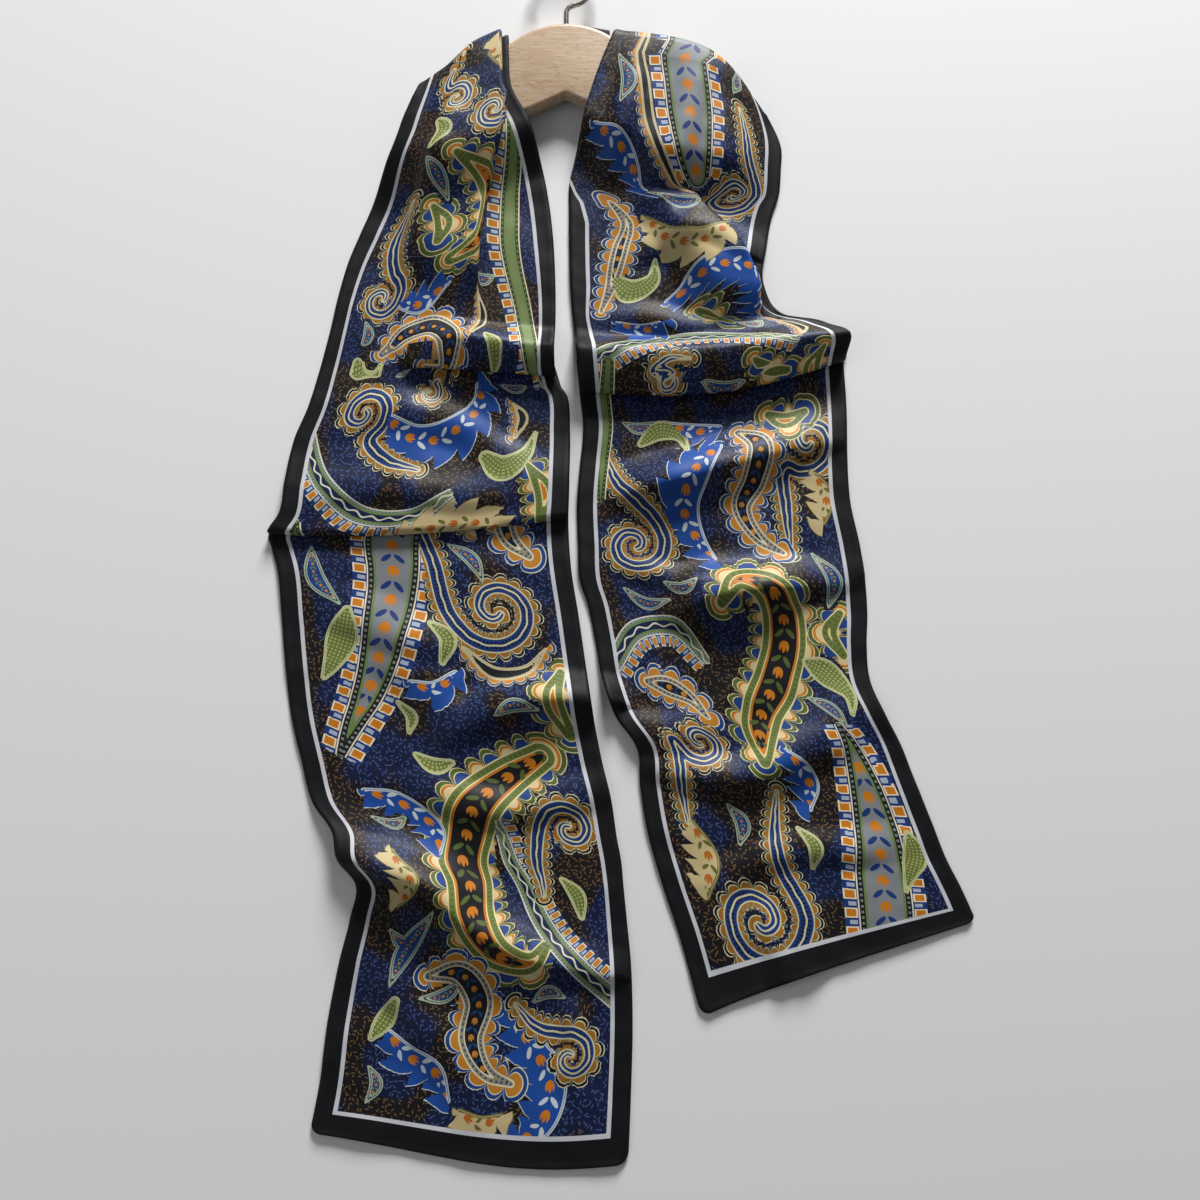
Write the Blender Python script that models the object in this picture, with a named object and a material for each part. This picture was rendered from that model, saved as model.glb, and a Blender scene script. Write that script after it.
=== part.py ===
"""Skinny satin scarf laid flat round a small wooden hanger, at its real size.

Sizes are millimetres on the lay: +X to the right, +Y towards the hook, +Z up from the surface,
measured from the middle of the hanger's top edge. The finished part is moved so that its origin
is the bottom centre of its box, and written in metres.
"""

import math
from collections import namedtuple

import bmesh
import bpy
import numpy as np
from mathutils import Matrix

MM = 0.001

# The cloth: a strip 160 mm wide, modelled as a wall
WALL = 1.2
LAYER_PITCH = 2.4
MIN_ROUND = 1.4
FLAT = WALL / 2
SEAM_GAP = 0.3
CORNER_RADIUS = 6.0

# The hanger: flat beech, lying on the neck stretch
WOOD_THICKNESS = 10.0
WOOD_UNDERSIDE = 4.8
WOOD_TOP = WOOD_UNDERSIDE + WOOD_THICKNESS
WOOD_EDGE_ROUND = 3.0
CROWN_RADIUS = 47.6
ARM_SLOPE = math.radians(38)
ARM_LENGTH = 64.0
ARM_END_RADIUS = 14.0
NOTCH_HEIGHT = 47.2
NOTCH_SLOPE = 0.44
NOTCH_SAG = 0.04

# The hook: bent wire in a bore of the wood
WIRE_RADIUS = 1.7
BORE_RADIUS = 2.0
BORE_DEPTH = 14.0
STEM_END = -13.7
STEM_TOP = 8.5
STEM_BEND = math.radians(75)
STEM_BEND_RADIUS = 6.3
HOOK_RADIUS = 18.0
HOOK_CENTRE_Y = 32.0
HOOK_END = math.radians(196)

# The cloth over the hanger's arms, and how far it takes to come down from them
CLOTH_ON_WOOD = 0.4
ARM_LIFT = WOOD_TOP + CLOTH_ON_WOOD
LIFT_PAST_EDGE = 6.0
DOWN_FROM_ARM = 36.0
ARM_REACH = 86.5
PAST_ARM_END = 46.0

# One section of a fall: its two sides, the lengthwise pleat's edge measured from the left side,
# how far the pleat turns back, how round its edge is, how far the middle hangs below the sides
# and where along the section it hangs most
Section = namedtuple("Section", "name left_x left_y right_x right_y edge tuck round bow lean")

LEFT_SECTIONS = [
    Section("shoulder fold", -84.0, -36.0, -34.5, -2.3, 63.0, 12.0, 0.8, -3.0, 1.0),
    Section("on the arm", -90.5, -51.5, -33.5, -24.0, 65.0, 16.0, 0.9, -1.0, 1.0),
    Section("border shows", -95.5, -64.0, -31.6, -44.5, 65.2, 22.0, 1.4, 0.0, 1.0),
    Section("off the arm", -99.5, -76.5, -22.0, -63.0, 65.1, 26.0, 2.0, 0.0, 1.0),
    Section("upper chest", -106.0, -92.5, -14.4, -87.0, 66.2, 28.0, 2.4, 0.0, 1.0),
    Section("pleat opens 1", -112.2, -111.0, -10.2, -107.8, 67.1, 26.0, 2.6, 0.0, 1.0),
    Section("pleat opens 2", -119.8, -131.0, -7.1, -133.5, 71.0, 22.0, 2.6, 0.0, 1.0),
    Section("pleat opens 3", -126.2, -149.4, -5.8, -155.7, 76.0, 17.0, 2.4, 0.0, 1.0),
    Section("pleat opens 4", -131.2, -170.7, -5.3, -176.5, 80.3, 12.0, 1.8, 0.0, 1.0),
    Section("pleat ends", -135.0, -191.8, -5.5, -199.0, 84.0, 7.0, 1.2, 0.0, 1.0),
    Section("soft fold", -139.5, -213.0, -4.8, -220.9, 88.0, 4.0, 0.9, -1.0, 1.0),
    Section("below soft fold", -145.0, -236.0, 1.8, -232.0, 88.0, 4.0, 0.9, 0.0, 1.0),
    Section("full width", -152.7, -258.0, 3.3, -252.0, 88.0, 4.0, 0.9, 1.0, 1.0),
    Section("above the tuck", -156.5, -284.6, 3.2, -279.5, 88.0, 4.0, 0.9, 3.0, 0.9),
    Section("side turns out", -158.6, -302.0, 2.8, -295.0, 88.0, 4.0, 0.9, 4.2, 0.8),
    Section("tuck lip", -164.6, -312.6, 2.6, -304.6, 88.0, 4.0, 0.9, 4.6, 0.8),
    Section("below the tuck", -162.6, -320.5, 3.0, -316.8, 88.0, 4.0, 0.9, 3.0, 0.9),
    Section("left side settles", -158.9, -332.0, 4.0, -330.0, 88.0, 4.0, 0.9, 0.0, 1.0),
    Section("lower fall 1", -154.7, -361.9, 8.7, -360.8, 88.0, 4.0, 0.9, 0.0, 1.0),
    Section("lower fall 2", -151.9, -384.3, 12.1, -384.3, 88.0, 4.0, 0.9, 0.0, 1.0),
    Section("lower fall 3", -146.6, -417.3, 17.2, -418.5, 88.0, 4.0, 0.9, 0.0, 1.0),
    Section("lower fall 4", -140.5, -439.2, 21.6, -440.9, 88.0, 4.0, 0.9, 0.0, 1.0),
    Section("lower fall 5", -133.6, -461.5, 26.4, -461.0, 88.0, 4.0, 0.9, 0.0, 1.0),
    Section("above the notch", -121.0, -479.2, 29.3, -480.8, 88.0, 4.0, 0.9, 0.0, 1.0),
    Section("notch lip", -118.0, -492.8, 31.6, -493.3, 88.0, 4.0, 0.9, 0.0, 1.0),
    Section("notch", -109.2, -504.2, 32.6, -504.7, 88.0, 4.0, 0.9, 0.0, 1.0),
    Section("below the notch", -111.0, -521.8, 34.4, -523.3, 88.0, 4.0, 0.9, 0.0, 1.0),
    Section("end panel 1", -115.9, -544.8, 36.4, -544.8, 88.0, 4.0, 0.9, 1.0, 1.0),
    Section("end panel 2", -120.6, -573.5, 37.2, -576.0, 88.0, 4.0, 0.9, 3.0, 1.2),
    Section("end panel 3", -123.3, -603.0, 36.2, -609.5, 88.0, 4.0, 0.9, 5.0, 1.4),
    Section("hem", -127.6, -629.6, 34.6, -644.6, 88.0, 4.0, 0.9, 7.0, 1.5),
]

RIGHT_SECTIONS = [
    Section("shoulder fold", 29.8, -2.6, 113.0, -47.5, 60.0, 4.0, 0.9, -15.0, 1.15),
    Section("on the arm", 20.3, -28.3, 122.6, -62.0, 60.0, 4.0, 0.9, -12.0, 1.15),
    Section("arm edge", 13.2, -51.4, 127.4, -75.4, 60.0, 4.0, 0.9, -8.0, 1.1),
    Section("off the arm", 6.8, -78.4, 127.0, -91.3, 64.0, 4.0, 0.9, -4.0, 1.0),
    Section("pleat starts", 2.3, -97.4, 125.7, -105.2, 71.0, 9.0, 1.4, 0.0, 1.0),
    Section("pleat deepens", 2.1, -119.6, 120.9, -120.6, 83.5, 17.0, 2.6, 0.0, 1.0),
    Section("pleat full", 2.2, -138.7, 117.6, -138.7, 98.2, 20.0, 3.0, 0.0, 1.0),
    Section("pleat at the side", 2.9, -163.9, 115.2, -163.9, 110.6, 21.0, 3.0, 0.0, 1.0),
    Section("roll begins", 4.2, -181.5, 124.5, -181.0, 121.6, 17.0, 2.6, 0.0, 1.0),
    Section("roll back", 5.4, -193.0, 147.5, -188.0, 143.4, 8.0, 1.6, 0.0, 1.0),
    Section("roll crest", 6.6, -207.8, 161.2, -198.2, 120.0, 5.0, 1.0, 5.0, 1.0),
    Section("roll lip", 8.7, -230.3, 160.0, -211.4, 100.0, 4.0, 0.9, 10.5, 1.0),
    Section("below the roll", 10.7, -249.3, 160.4, -233.6, 100.0, 4.0, 0.9, 5.0, 1.0),
    Section("lower fall 1", 9.0, -272.5, 159.8, -263.6, 100.0, 4.0, 0.9, 0.0, 1.0),
    Section("lower fall 2", 7.4, -294.8, 160.4, -293.0, 100.0, 4.0, 0.9, 0.0, 1.0),
    Section("lower fall 3", 8.0, -319.2, 164.9, -320.9, 100.0, 4.0, 0.9, 0.0, 1.0),
    Section("lower fall 4", 9.2, -340.4, 167.3, -344.9, 100.0, 4.0, 0.9, 0.0, 1.0),
    Section("lower fall 5", 13.2, -352.6, 167.5, -358.4, 100.0, 4.0, 0.9, 0.0, 1.0),
    Section("side wave 1", 17.5, -373.1, 166.4, -376.4, 100.0, 4.0, 0.9, 0.0, 1.0),
    Section("side wave 2", 21.4, -395.4, 167.6, -396.8, 100.0, 4.0, 0.9, 0.0, 1.0),
    Section("side wave 3", 28.4, -415.6, 175.0, -415.2, 100.0, 4.0, 0.9, 0.0, 1.0),
    Section("side wave 4", 39.8, -432.6, 182.0, -429.3, 100.0, 4.0, 0.9, 0.0, 1.0),
    Section("side wave 5", 41.7, -452.5, 189.3, -449.8, 100.0, 4.0, 0.9, 0.0, 1.0),
    Section("end panel 1", 45.4, -477.0, 197.2, -472.3, 100.0, 4.0, 0.9, 0.0, 1.0),
    Section("end panel 2", 52.8, -504.0, 203.6, -490.8, 100.0, 4.0, 0.9, 0.0, 1.0),
    Section("end panel 3", 62.0, -532.4, 210.6, -505.9, 100.0, 4.0, 0.9, 0.0, 1.0),
    Section("hem", 73.0, -573.4, 218.0, -524.0, 100.0, 4.0, 0.9, -2.5, 0.55),
]

# How far past a lip the cloth beneath it takes to pick up its swells
SETTLE_LENGTH = 24.0

# The stretch of each fall in which its lengthwise pleat is folded, by section name
LEFT_PLEAT = ("shoulder fold", "shoulder fold", "upper chest", "pleat ends")
RIGHT_PLEAT = ("on the arm", "pleat deepens", "pleat full", "roll back")

# One crosswise fold: the section its lip lies on, how deep it turns back, how round its lip is,
# how far before the lip the cloth starts to climb, and the part of the width over which it grows
CrossFold = namedtuple("CrossFold", "lip depth round climb grows_from grows_to")

LEFT_SOFT_FOLD = CrossFold("soft fold", 9.0, 3.0, 22.0, 0.22, 0.68)
LEFT_TUCK = CrossFold("tuck lip", 24.0, 0.8, 30.0, -1.0, -0.5)
RIGHT_ROLL = CrossFold("roll lip", 16.0, 4.2, 14.0, -1.0, -0.5)

# The folds that stand up softly: how far each reaches to the left and right of its crest, seen
# along it, and the crest's points with its height there
Ridge = namedtuple("Ridge", "name reach_left reach_right crest")

RIDGES = [
    Ridge("left shoulder swell", 22.0, 24.0,
          [(-70.0, -78.0, 0.0), (-76.0, -104.0, 3.4), (-84.0, -140.0, 3.0), (-88.0, -184.0, 0.0)]),
    Ridge("puff over the soft fold", 16.0, 20.0,
          [(-84.0, -196.0, 0.0), (-58.0, -199.0, 3.8), (-34.0, -202.0, 3.4), (-10.0, -204.0, 1.2)]),
    Ridge("below the soft fold", 18.0, 24.0,
          [(-98.0, -228.0, 0.0), (-88.0, -246.0, 3.2), (-92.0, -266.0, 2.4), (-100.0, -284.0, 0.0)]),
    Ridge("left knee", 26.0, 22.0,
          [(-100.0, -360.0, 0.0), (-84.0, -386.0, 3.0), (-66.0, -414.0, 3.2), (-44.0, -440.0, 0.0)]),
    Ridge("left side swell", 16.0, 18.0,
          [(-52.0, -412.0, 0.0), (-26.0, -410.0, 3.4), (2.0, -407.0, 3.8), (19.0, -406.0, 3.0)]),
    Ridge("left diagonal fold", 30.0, 13.0,
          [(-119.0, -486.0, 5.0), (-98.0, -497.0, 7.5), (-70.0, -508.0, 8.5), (-46.0, -528.0, 8.0),
           (-18.0, -542.0, 5.0), (20.0, -550.0, 2.0), (37.0, -552.0, 1.0)]),
    Ridge("right shoulder swell", 26.0, 24.0,
          [(58.0, -58.0, 0.0), (54.0, -84.0, 3.0), (46.0, -112.0, 3.5), (36.0, -140.0, 0.0)]),
    Ridge("right bulge", 34.0, 22.0,
          [(62.0, -112.0, 0.0), (76.0, -134.0, 3.5), (92.0, -160.0, 5.0), (104.0, -184.0, 2.0)]),
    Ridge("roll", 17.0, 21.0,
          [(4.0, -206.0, 5.0), (43.0, -210.0, 6.0), (86.0, -208.0, 6.5), (124.0, -199.0, 6.5),
           (152.0, -193.0, 6.0), (166.0, -191.0, 5.5)]),
    Ridge("below the roll", 24.0, 20.0,
          [(24.0, -296.0, 0.0), (56.0, -288.0, 3.2), (96.0, -272.0, 3.0), (140.0, -260.0, 0.0)]),
    Ridge("right hump", 30.0, 16.0,
          [(52.0, -362.0, 0.0), (76.0, -354.0, 5.0), (104.0, -348.0, 6.0), (140.0, -344.0, 0.0)]),
    Ridge("right side wave", 16.0, 14.0,
          [(20.0, -418.0, 1.0), (42.0, -424.0, 4.0), (68.0, -424.0, 3.0), (90.0, -416.0, 0.0)]),
    Ridge("right lower swell", 24.0, 24.0,
          [(84.0, -456.0, 0.0), (112.0, -440.0, 4.0), (146.0, -420.0, 3.4), (176.0, -404.0, 1.0)]),
    Ridge("hem wave", 18.0, 18.0,
          [(122.0, -486.0, 0.0), (126.0, -516.0, 2.2), (128.0, -548.0, 3.0), (129.0, -562.0, 3.0)]),
]

# The folded band beneath the hanger: how many layers it has, how far in each lies, and the ends
# of its upper and lower side at each section
BAND_THICKNESS = 4.4
BAND_LAYERS = 3
BAND_LAYER_STEP = (0.0, 1.6, 0.6)
BAND_MIDDLE = [(-14.0, -2.5, -14.0, -40.0), (0.0, -3.5, 0.0, -41.0), (11.5, -1.6, 13.0, -43.0)]
BAND_CORNER = (20.8, -5.0)
BAND_SHARES = (0.0, 0.07, 0.22, 0.4, 0.6, 0.8, 1.0)
BAND_COLUMNS = len(BAND_SHARES) - 1
BAND_STATIONS = 9

# Mesh density: cells along a fall, across a plain one, and in the flat parts of a pleat
ROW_LENGTH = 11.0
TURN_STEPS = 4
OPEN_ROW = 1.5
PLAIN_COLUMNS = 12
PLEAT_TOP_CELLS = 8
PLEAT_FRONT_CELLS = 4


def ease(value):
    """Smooth step from 0 to 1."""
    value = np.clip(value, 0.0, 1.0)
    return value * value * (3.0 - 2.0 * value)


def curve_through(stations, values, at):
    """Smooth curve through values at uneven stations."""
    stations = np.asarray(stations, float)
    values = np.asarray(values, float)
    slopes = np.gradient(values, stations)
    at = np.clip(at, stations[0], stations[-1])
    index = np.clip(np.searchsorted(stations, at, side="right") - 1, 0, len(stations) - 2)
    span = stations[index + 1] - stations[index]
    t = (at - stations[index]) / span
    h00 = 2 * t**3 - 3 * t**2 + 1
    h10 = t**3 - 2 * t**2 + t
    return (h00 * values[index] + h10 * span * slopes[index]
            + (1 - h00) * values[index + 1] + (t**3 - t**2) * span * slopes[index + 1])


def ridge_height(x, y):
    """Height of all soft ridges together at places on the lay."""
    total = np.zeros_like(x)
    for ridge in RIDGES:
        crest = np.array(ridge.crest)
        run = np.concatenate([[0.0], np.cumsum(np.hypot(*np.diff(crest[:, :2], axis=0).T))])
        fine = np.linspace(0.0, run[-1], 60)
        line = [curve_through(run, crest[:, column], fine) for column in range(3)]
        away_x = x[..., None] - line[0]
        away_y = y[..., None] - line[1]
        nearest = np.argmin(np.hypot(away_x, away_y), axis=-1)
        dx = np.take_along_axis(away_x, nearest[..., None], -1)[..., 0]
        dy = np.take_along_axis(away_y, nearest[..., None], -1)[..., 0]
        slope_x = np.gradient(line[0], fine)[nearest]
        slope_y = np.gradient(line[1], fine)[nearest]
        side = slope_x * dy - slope_y * dx
        reach = np.where(side > 0, ridge.reach_left, ridge.reach_right)
        fall_off = np.clip(1.0 - (np.hypot(dx, dy) / reach) ** 2, 0.0, 1.0) ** 2
        total += np.maximum(line[2][nearest], 0.0) * fall_off
    return total


def arm_lift(x, y):
    """How far the hanger's arms hold the cloth up."""
    reach = abs(x)
    lower_edge = -NOTCH_HEIGHT - LIFT_PAST_EDGE - np.minimum(reach, ARM_REACH - 18.0) * NOTCH_SLOPE
    below = ease((lower_edge - y) / DOWN_FROM_ARM)
    outside = ease((reach - ARM_REACH) / PAST_ARM_END)
    return ARM_LIFT * (1.0 - below) * (1.0 - outside)


def fold_profile(share, depth, roundness):
    """Section through a fold that has grown by a share: how far each point lies past the point
    where the cloth starts to turn, and its height. The cloth turns down over the lip, runs back
    beneath it and turns forward again."""
    bend = math.pi * float(ease(share / 0.6))
    back = (depth - roundness) * float(ease((share - 0.45) / 0.55))
    inner = LAYER_PITCH / 2
    angles = np.linspace(0.0, bend, TURN_STEPS + 1)
    rise = (roundness + inner) * (1 - math.cos(bend)) + back * math.sin(bend)
    over = roundness * np.sin(angles)
    over_height = rise - roundness * (1 - np.cos(angles))
    past = over[-1] + back * math.cos(bend) + inner * (math.sin(bend) - np.sin(angles[::-1]))
    past_height = inner * (1 - np.cos(angles[::-1]))
    count = 2 * len(angles)
    loose = 1.0 - float(ease(bend / math.radians(120)))
    slack = loose * OPEN_ROW * np.arange(0.5 - count / 2, count / 2)
    return np.concatenate([over, past]) + slack, np.concatenate([over_height, past_height])


def lip_profile(depth, roundness):
    """Section through the upper half of a full fold, which ends in the cloth beneath its lip."""
    angles = np.linspace(0.0, math.pi, TURN_STEPS + 1)
    past = np.append(roundness * np.sin(angles), [(roundness - depth) / 2, roundness - depth])
    height = np.append(LAYER_PITCH + roundness * (1 + np.cos(angles)), [LAYER_PITCH, LAYER_PITCH])
    return past, height


class Fall:
    """One end of the scarf: where its sides run, and the pleat along it."""

    def __init__(self, sections, pleat):
        self.sections = sections
        columns = {name: [getattr(row, name) for row in sections] for name in Section._fields[1:]}
        middle_x = (np.array(columns["left_x"]) + np.array(columns["right_x"])) / 2
        middle_y = (np.array(columns["left_y"]) + np.array(columns["right_y"])) / 2
        steps = np.hypot(np.diff(middle_x), np.diff(middle_y))
        self.stations = np.concatenate([[0.0], np.cumsum(steps)])
        self.columns = columns
        self.pleat = [self.station(name) for name in pleat]

    def station(self, name):
        return self.stations[[row.name for row in self.sections].index(name)]

    def value(self, column, along):
        return curve_through(self.stations, self.columns[column], along)

    def place(self, along, across):
        """Plan position at a distance along the fall and a share of the way across it."""
        length = self.stations[-1]
        left = np.array([self.value("left_x", along), self.value("left_y", along)])
        right = np.array([self.value("right_x", along), self.value("right_y", along)])
        side = right - left
        width = np.hypot(*side)
        to_hem = np.clip(length - along, 0.0, CORNER_RADIUS)
        inset = CORNER_RADIUS - np.sqrt(CORNER_RADIUS**2 - (CORNER_RADIUS - to_hem) ** 2)
        across = 0.5 + (across - 0.5) * (1.0 - 2.0 * inset / width)
        bow = self.value("bow", along) * np.sin(
            np.pi * np.clip(across, 0.0, 1.0) ** self.value("lean", along))
        down = np.array([side[1], -side[0]]) / width
        overrun = np.minimum(along, 0.0)
        return left + side * across + down * (bow + overrun)

    def pleat_share(self, along):
        """How far the pleat is folded there, from 0 for open to 1."""
        starts, full, opens, ends = self.pleat
        grown = (along - starts) / (full - starts) if full > starts else 1.0
        return float(np.clip(min(grown, (ends - along) / (ends - opens)), 0.0, 1.0))

    def pleat_section(self, along):
        """Across share and height of each column of the pleated cloth at one section."""
        edge, tuck, roundness = (float(self.value(name, along)) for name in ("edge", "tuck", "round"))
        roundness = max(roundness, MIN_ROUND)
        tuck = max(tuck, roundness + 1.0)
        left = np.array([self.value("left_x", along), self.value("left_y", along)])
        right = np.array([self.value("right_x", along), self.value("right_y", along)])
        width = float(np.hypot(*(right - left)))
        past, height = fold_profile(self.pleat_share(along), tuck, roundness)
        start = min(edge - roundness, width - 6.0 - max(past[-1], 0.0))
        top = np.linspace(0.0, start + past[0], PLEAT_TOP_CELLS + 1)[:-1]
        raised = height[0] * (1.0 - ease((start - top - tuck - 2.0) / 24.0))
        front = np.linspace(start + past[-1], width, PLEAT_FRONT_CELLS + 1)[1:]
        distance = np.concatenate([top, start + past, front])
        return distance / width, np.concatenate([raised, height, 0.0 * front])


def plain_rows(start, end):
    """Evenly spaced rows of cloth lying in one layer: along, and share of the ridges' height."""
    count = max(1, round((end - start) / ROW_LENGTH))
    return [dict(along=along, swell=1.0) for along in np.linspace(start, end, count + 1)]


def fold_rows(fold, closed):
    """Rows of one crosswise fold, from its lip to the end of the cloth beneath it."""
    count = 2 * (TURN_STEPS + 1) if closed else TURN_STEPS + 3
    return [dict(fold=fold, closed=closed, order=order, swell=1.0 if order == 0 else 0.0)
            for order in range(count)]


def cloth_grid(fall, rows, folds, pleated, shoulder):
    """Middle surface of one stretch, row by row, from its rows and the folds near it."""
    grid = []
    if shoulder:
        grid += shoulder_rows(fall)
    for row in rows:
        fold = row.get("fold")
        at = fall.station(fold.lip) if fold else row["along"]
        if pleated:
            across, pleat_height = fall.pleat_section(float(np.clip(at, 0.0, None)))
        else:
            across = np.linspace(0.0, 1.0, PLAIN_COLUMNS + 1)
            pleat_height = np.zeros_like(across)
        along = np.full_like(across, at)
        stacked = np.full_like(across, row.get("raised", 0.0))
        swell = np.full_like(across, row["swell"])
        for near in folds:
            lip = fall.station(near.lip)
            for column, place in enumerate(across):
                share = (place - near.grows_from) / (near.grows_to - near.grows_from)
                past, height = fold_profile(share, near.depth, near.round)
                if fold is near:
                    if not row["closed"]:
                        past, height = lip_profile(near.depth, near.round)
                    along[column] = lip - near.round + past[row["order"]]
                    stacked[column] = height[row["order"]]
                    swell[column] += (1.0 - swell[column]) * (1.0 - float(ease(share / 0.6)))
                elif row.get("along", lip) < lip:
                    behind = lip - row["along"] - near.depth
                    climbed = height[0] * (1.0 - float(ease(behind / near.climb)))
                    stacked[column] = max(stacked[column], climbed)
        x, y = fall.place(along, across)
        z = FLAT + arm_lift(x, y) + swell * ridge_height(x, y) + stacked + pleat_height
        grid.append(np.stack([x, y, z], axis=-1))
    return np.array(grid)


def shoulder_base(fall, across, stack):
    """The fold line at the shoulder, the way down from it and the radius of the cloth round it."""
    x, y = fall.place(np.zeros_like(across), across)
    inside = fall.place(np.full_like(across, 8.0), across)
    down = inside - np.array([x, y])
    top = FLAT + arm_lift(*inside) + ridge_height(*inside)
    return np.array([x, y]), down / np.hypot(*down), np.maximum((top - FLAT - stack) / 2, LAYER_PITCH)


def shoulder_rows(fall):
    """Rows that bring the cloth from beneath the arm round to its top."""
    across, layer = fall.pleat_section(0.0)
    stack = float(np.max(layer))
    line, down, core = shoulder_base(fall, across, stack)
    rows = []
    for angle in np.radians(np.linspace(-90, 78, 9)):
        radius = core + layer
        x, y = line + down * (core + stack - radius * math.cos(angle))
        height = FLAT + stack + core + radius * math.sin(angle)
        rows.append(np.stack([x, y, height], axis=-1))
    return rows


def new_object(name, mesh, colour, roughness, metallic=0.0):
    """Object with a material of its own."""
    material = bpy.data.materials.new(name + "_finish")
    material.use_nodes = True
    shader = material.node_tree.nodes["Principled BSDF"]
    shader.inputs["Base Color"].default_value = (*colour, 1.0)
    shader.inputs["Roughness"].default_value = roughness
    shader.inputs["Metallic"].default_value = metallic
    mesh.materials.append(material)
    item = bpy.data.objects.new(name, mesh)
    bpy.context.collection.objects.link(item)
    return item


def cloth_object(name, grid, colour):
    """Wall of cloth: the middle surface as a mesh, thickened to both sides."""
    rows, columns = grid.shape[:2]
    mesh = bpy.data.meshes.new(name)
    shape = bmesh.new()
    points = [[shape.verts.new(place * MM) for place in line] for line in grid]
    for row in range(rows - 1):
        for column in range(columns - 1):
            shape.faces.new((points[row][column], points[row + 1][column],
                             points[row + 1][column + 1], points[row][column + 1]))
    shape.to_mesh(mesh)
    shape.free()
    mesh.shade_smooth()
    item = new_object(name, mesh, colour, 0.35)
    wall = item.modifiers.new("wall", "SOLIDIFY")
    wall.thickness = WALL * MM
    wall.offset = 0.0
    wall.use_even_offset = False
    wall.use_quality_normals = True
    return item


def build_falls():
    """The two ends of the scarf, each parted inside its deepest crosswise fold."""
    left = Fall(LEFT_SECTIONS, LEFT_PLEAT)
    right = Fall(RIGHT_SECTIONS, RIGHT_PLEAT)
    navy = (0.012, 0.022, 0.075)

    soft_lip = left.station(LEFT_SOFT_FOLD.lip)
    tuck_lip = left.station(LEFT_TUCK.lip)
    start = 17.0
    before_soft = plain_rows(start, soft_lip - 14.0)
    after_soft = plain_rows(soft_lip + 8.0, tuck_lip - 4.0)
    rows = (before_soft + fold_rows(LEFT_SOFT_FOLD, True) + after_soft
            + fold_rows(LEFT_TUCK, False))
    upper = cloth_grid(left, rows, [LEFT_SOFT_FOLD, LEFT_TUCK], True, True)
    cloth_object("left_fall_upper", upper, navy)
    lower_rows = emerging_rows(left, LEFT_TUCK) + corner_rows(left)
    cloth_object("left_fall_lower", cloth_grid(left, lower_rows, [], False, False), navy)

    roll_lip = right.station(RIGHT_ROLL.lip)
    upper_rows = plain_rows(14.0, roll_lip - 2 * RIGHT_ROLL.round) + fold_rows(RIGHT_ROLL, False)
    cloth_object("right_fall_upper", cloth_grid(right, upper_rows, [RIGHT_ROLL], True, True), navy)
    lower_rows = emerging_rows(right, RIGHT_ROLL) + corner_rows(right)
    cloth_object("right_fall_lower", cloth_grid(right, lower_rows, [], False, False), navy)


def emerging_rows(fall, fold):
    """Rows of the cloth that comes out from beneath a fold. Its hidden edge rises to the cloth
    above it, and it is flat until it is clear of the lip."""
    lip = fall.station(fold.lip)
    rows = plain_rows(lip - fold.depth, fall.stations[-1] - CORNER_RADIUS)
    for row in rows:
        row["swell"] = float(ease((row["along"] - lip - 2.0) / SETTLE_LENGTH))
    rows[0]["raised"] = LAYER_PITCH - WALL - SEAM_GAP
    return rows


def corner_rows(fall):
    """Close rows that round the two corners of the hem."""
    angles = np.radians([30, 60, 90])
    return [dict(along=fall.stations[-1] - CORNER_RADIUS * (1 - math.sin(angle)), swell=1.0)
            for angle in angles]


def band_section(line):
    """Closed outline across the folded band, its layers rounded at both sides."""
    run = np.concatenate([[0.0], np.cumsum(np.hypot(*np.diff(line, axis=0).T))])
    layer = BAND_THICKNESS / BAND_LAYERS
    flat = max(BAND_LAYER_STEP) + layer / 2
    side = [(flat, BAND_THICKNESS)]
    for order, step in enumerate(BAND_LAYER_STEP):
        for angle in np.radians([60, 0, -60])[order == 0:3 - (order == BAND_LAYERS - 1)]:
            side.append((step + layer / 2 * (1 - math.cos(angle)),
                         BAND_THICKNESS - layer * (order + 0.5 - 0.5 * math.sin(angle))))
    side.append((flat, 0.0))
    beneath = [(max(place, flat + 1.5 * order), 0.0) for order, place in enumerate(run[1:-1], 1)]
    opposite = [(run[-1] - inset, height) for inset, height in reversed(side)]
    above = [(inset, BAND_THICKNESS) for inset, height in reversed(beneath)]
    return [(np.interp(inset, run, line[:, 0]), np.interp(inset, run, line[:, 1]), height)
            for inset, height in side + beneath + opposite + above]


def wrap_end(fall, across):
    """Where the cloth ends beneath the arm, a seam gap further in."""
    columns, layer = fall.pleat_section(0.0)
    stack = float(np.max(layer))
    line, down, core = shoulder_base(fall, columns, stack)
    line = line + down * (core + stack)
    order = np.argsort(columns)
    shares = np.linspace(0.0, 1.0, 41)
    line = np.array([np.interp(shares, columns[order], axis[order]) for axis in line])
    heading = np.gradient(line, axis=1)
    inward = np.array([heading[1], -heading[0]]) / np.hypot(*heading)
    line = line + inward * 2 * SEAM_GAP
    return np.stack([np.interp(across, shares, axis) for axis in line], axis=-1)


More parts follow.
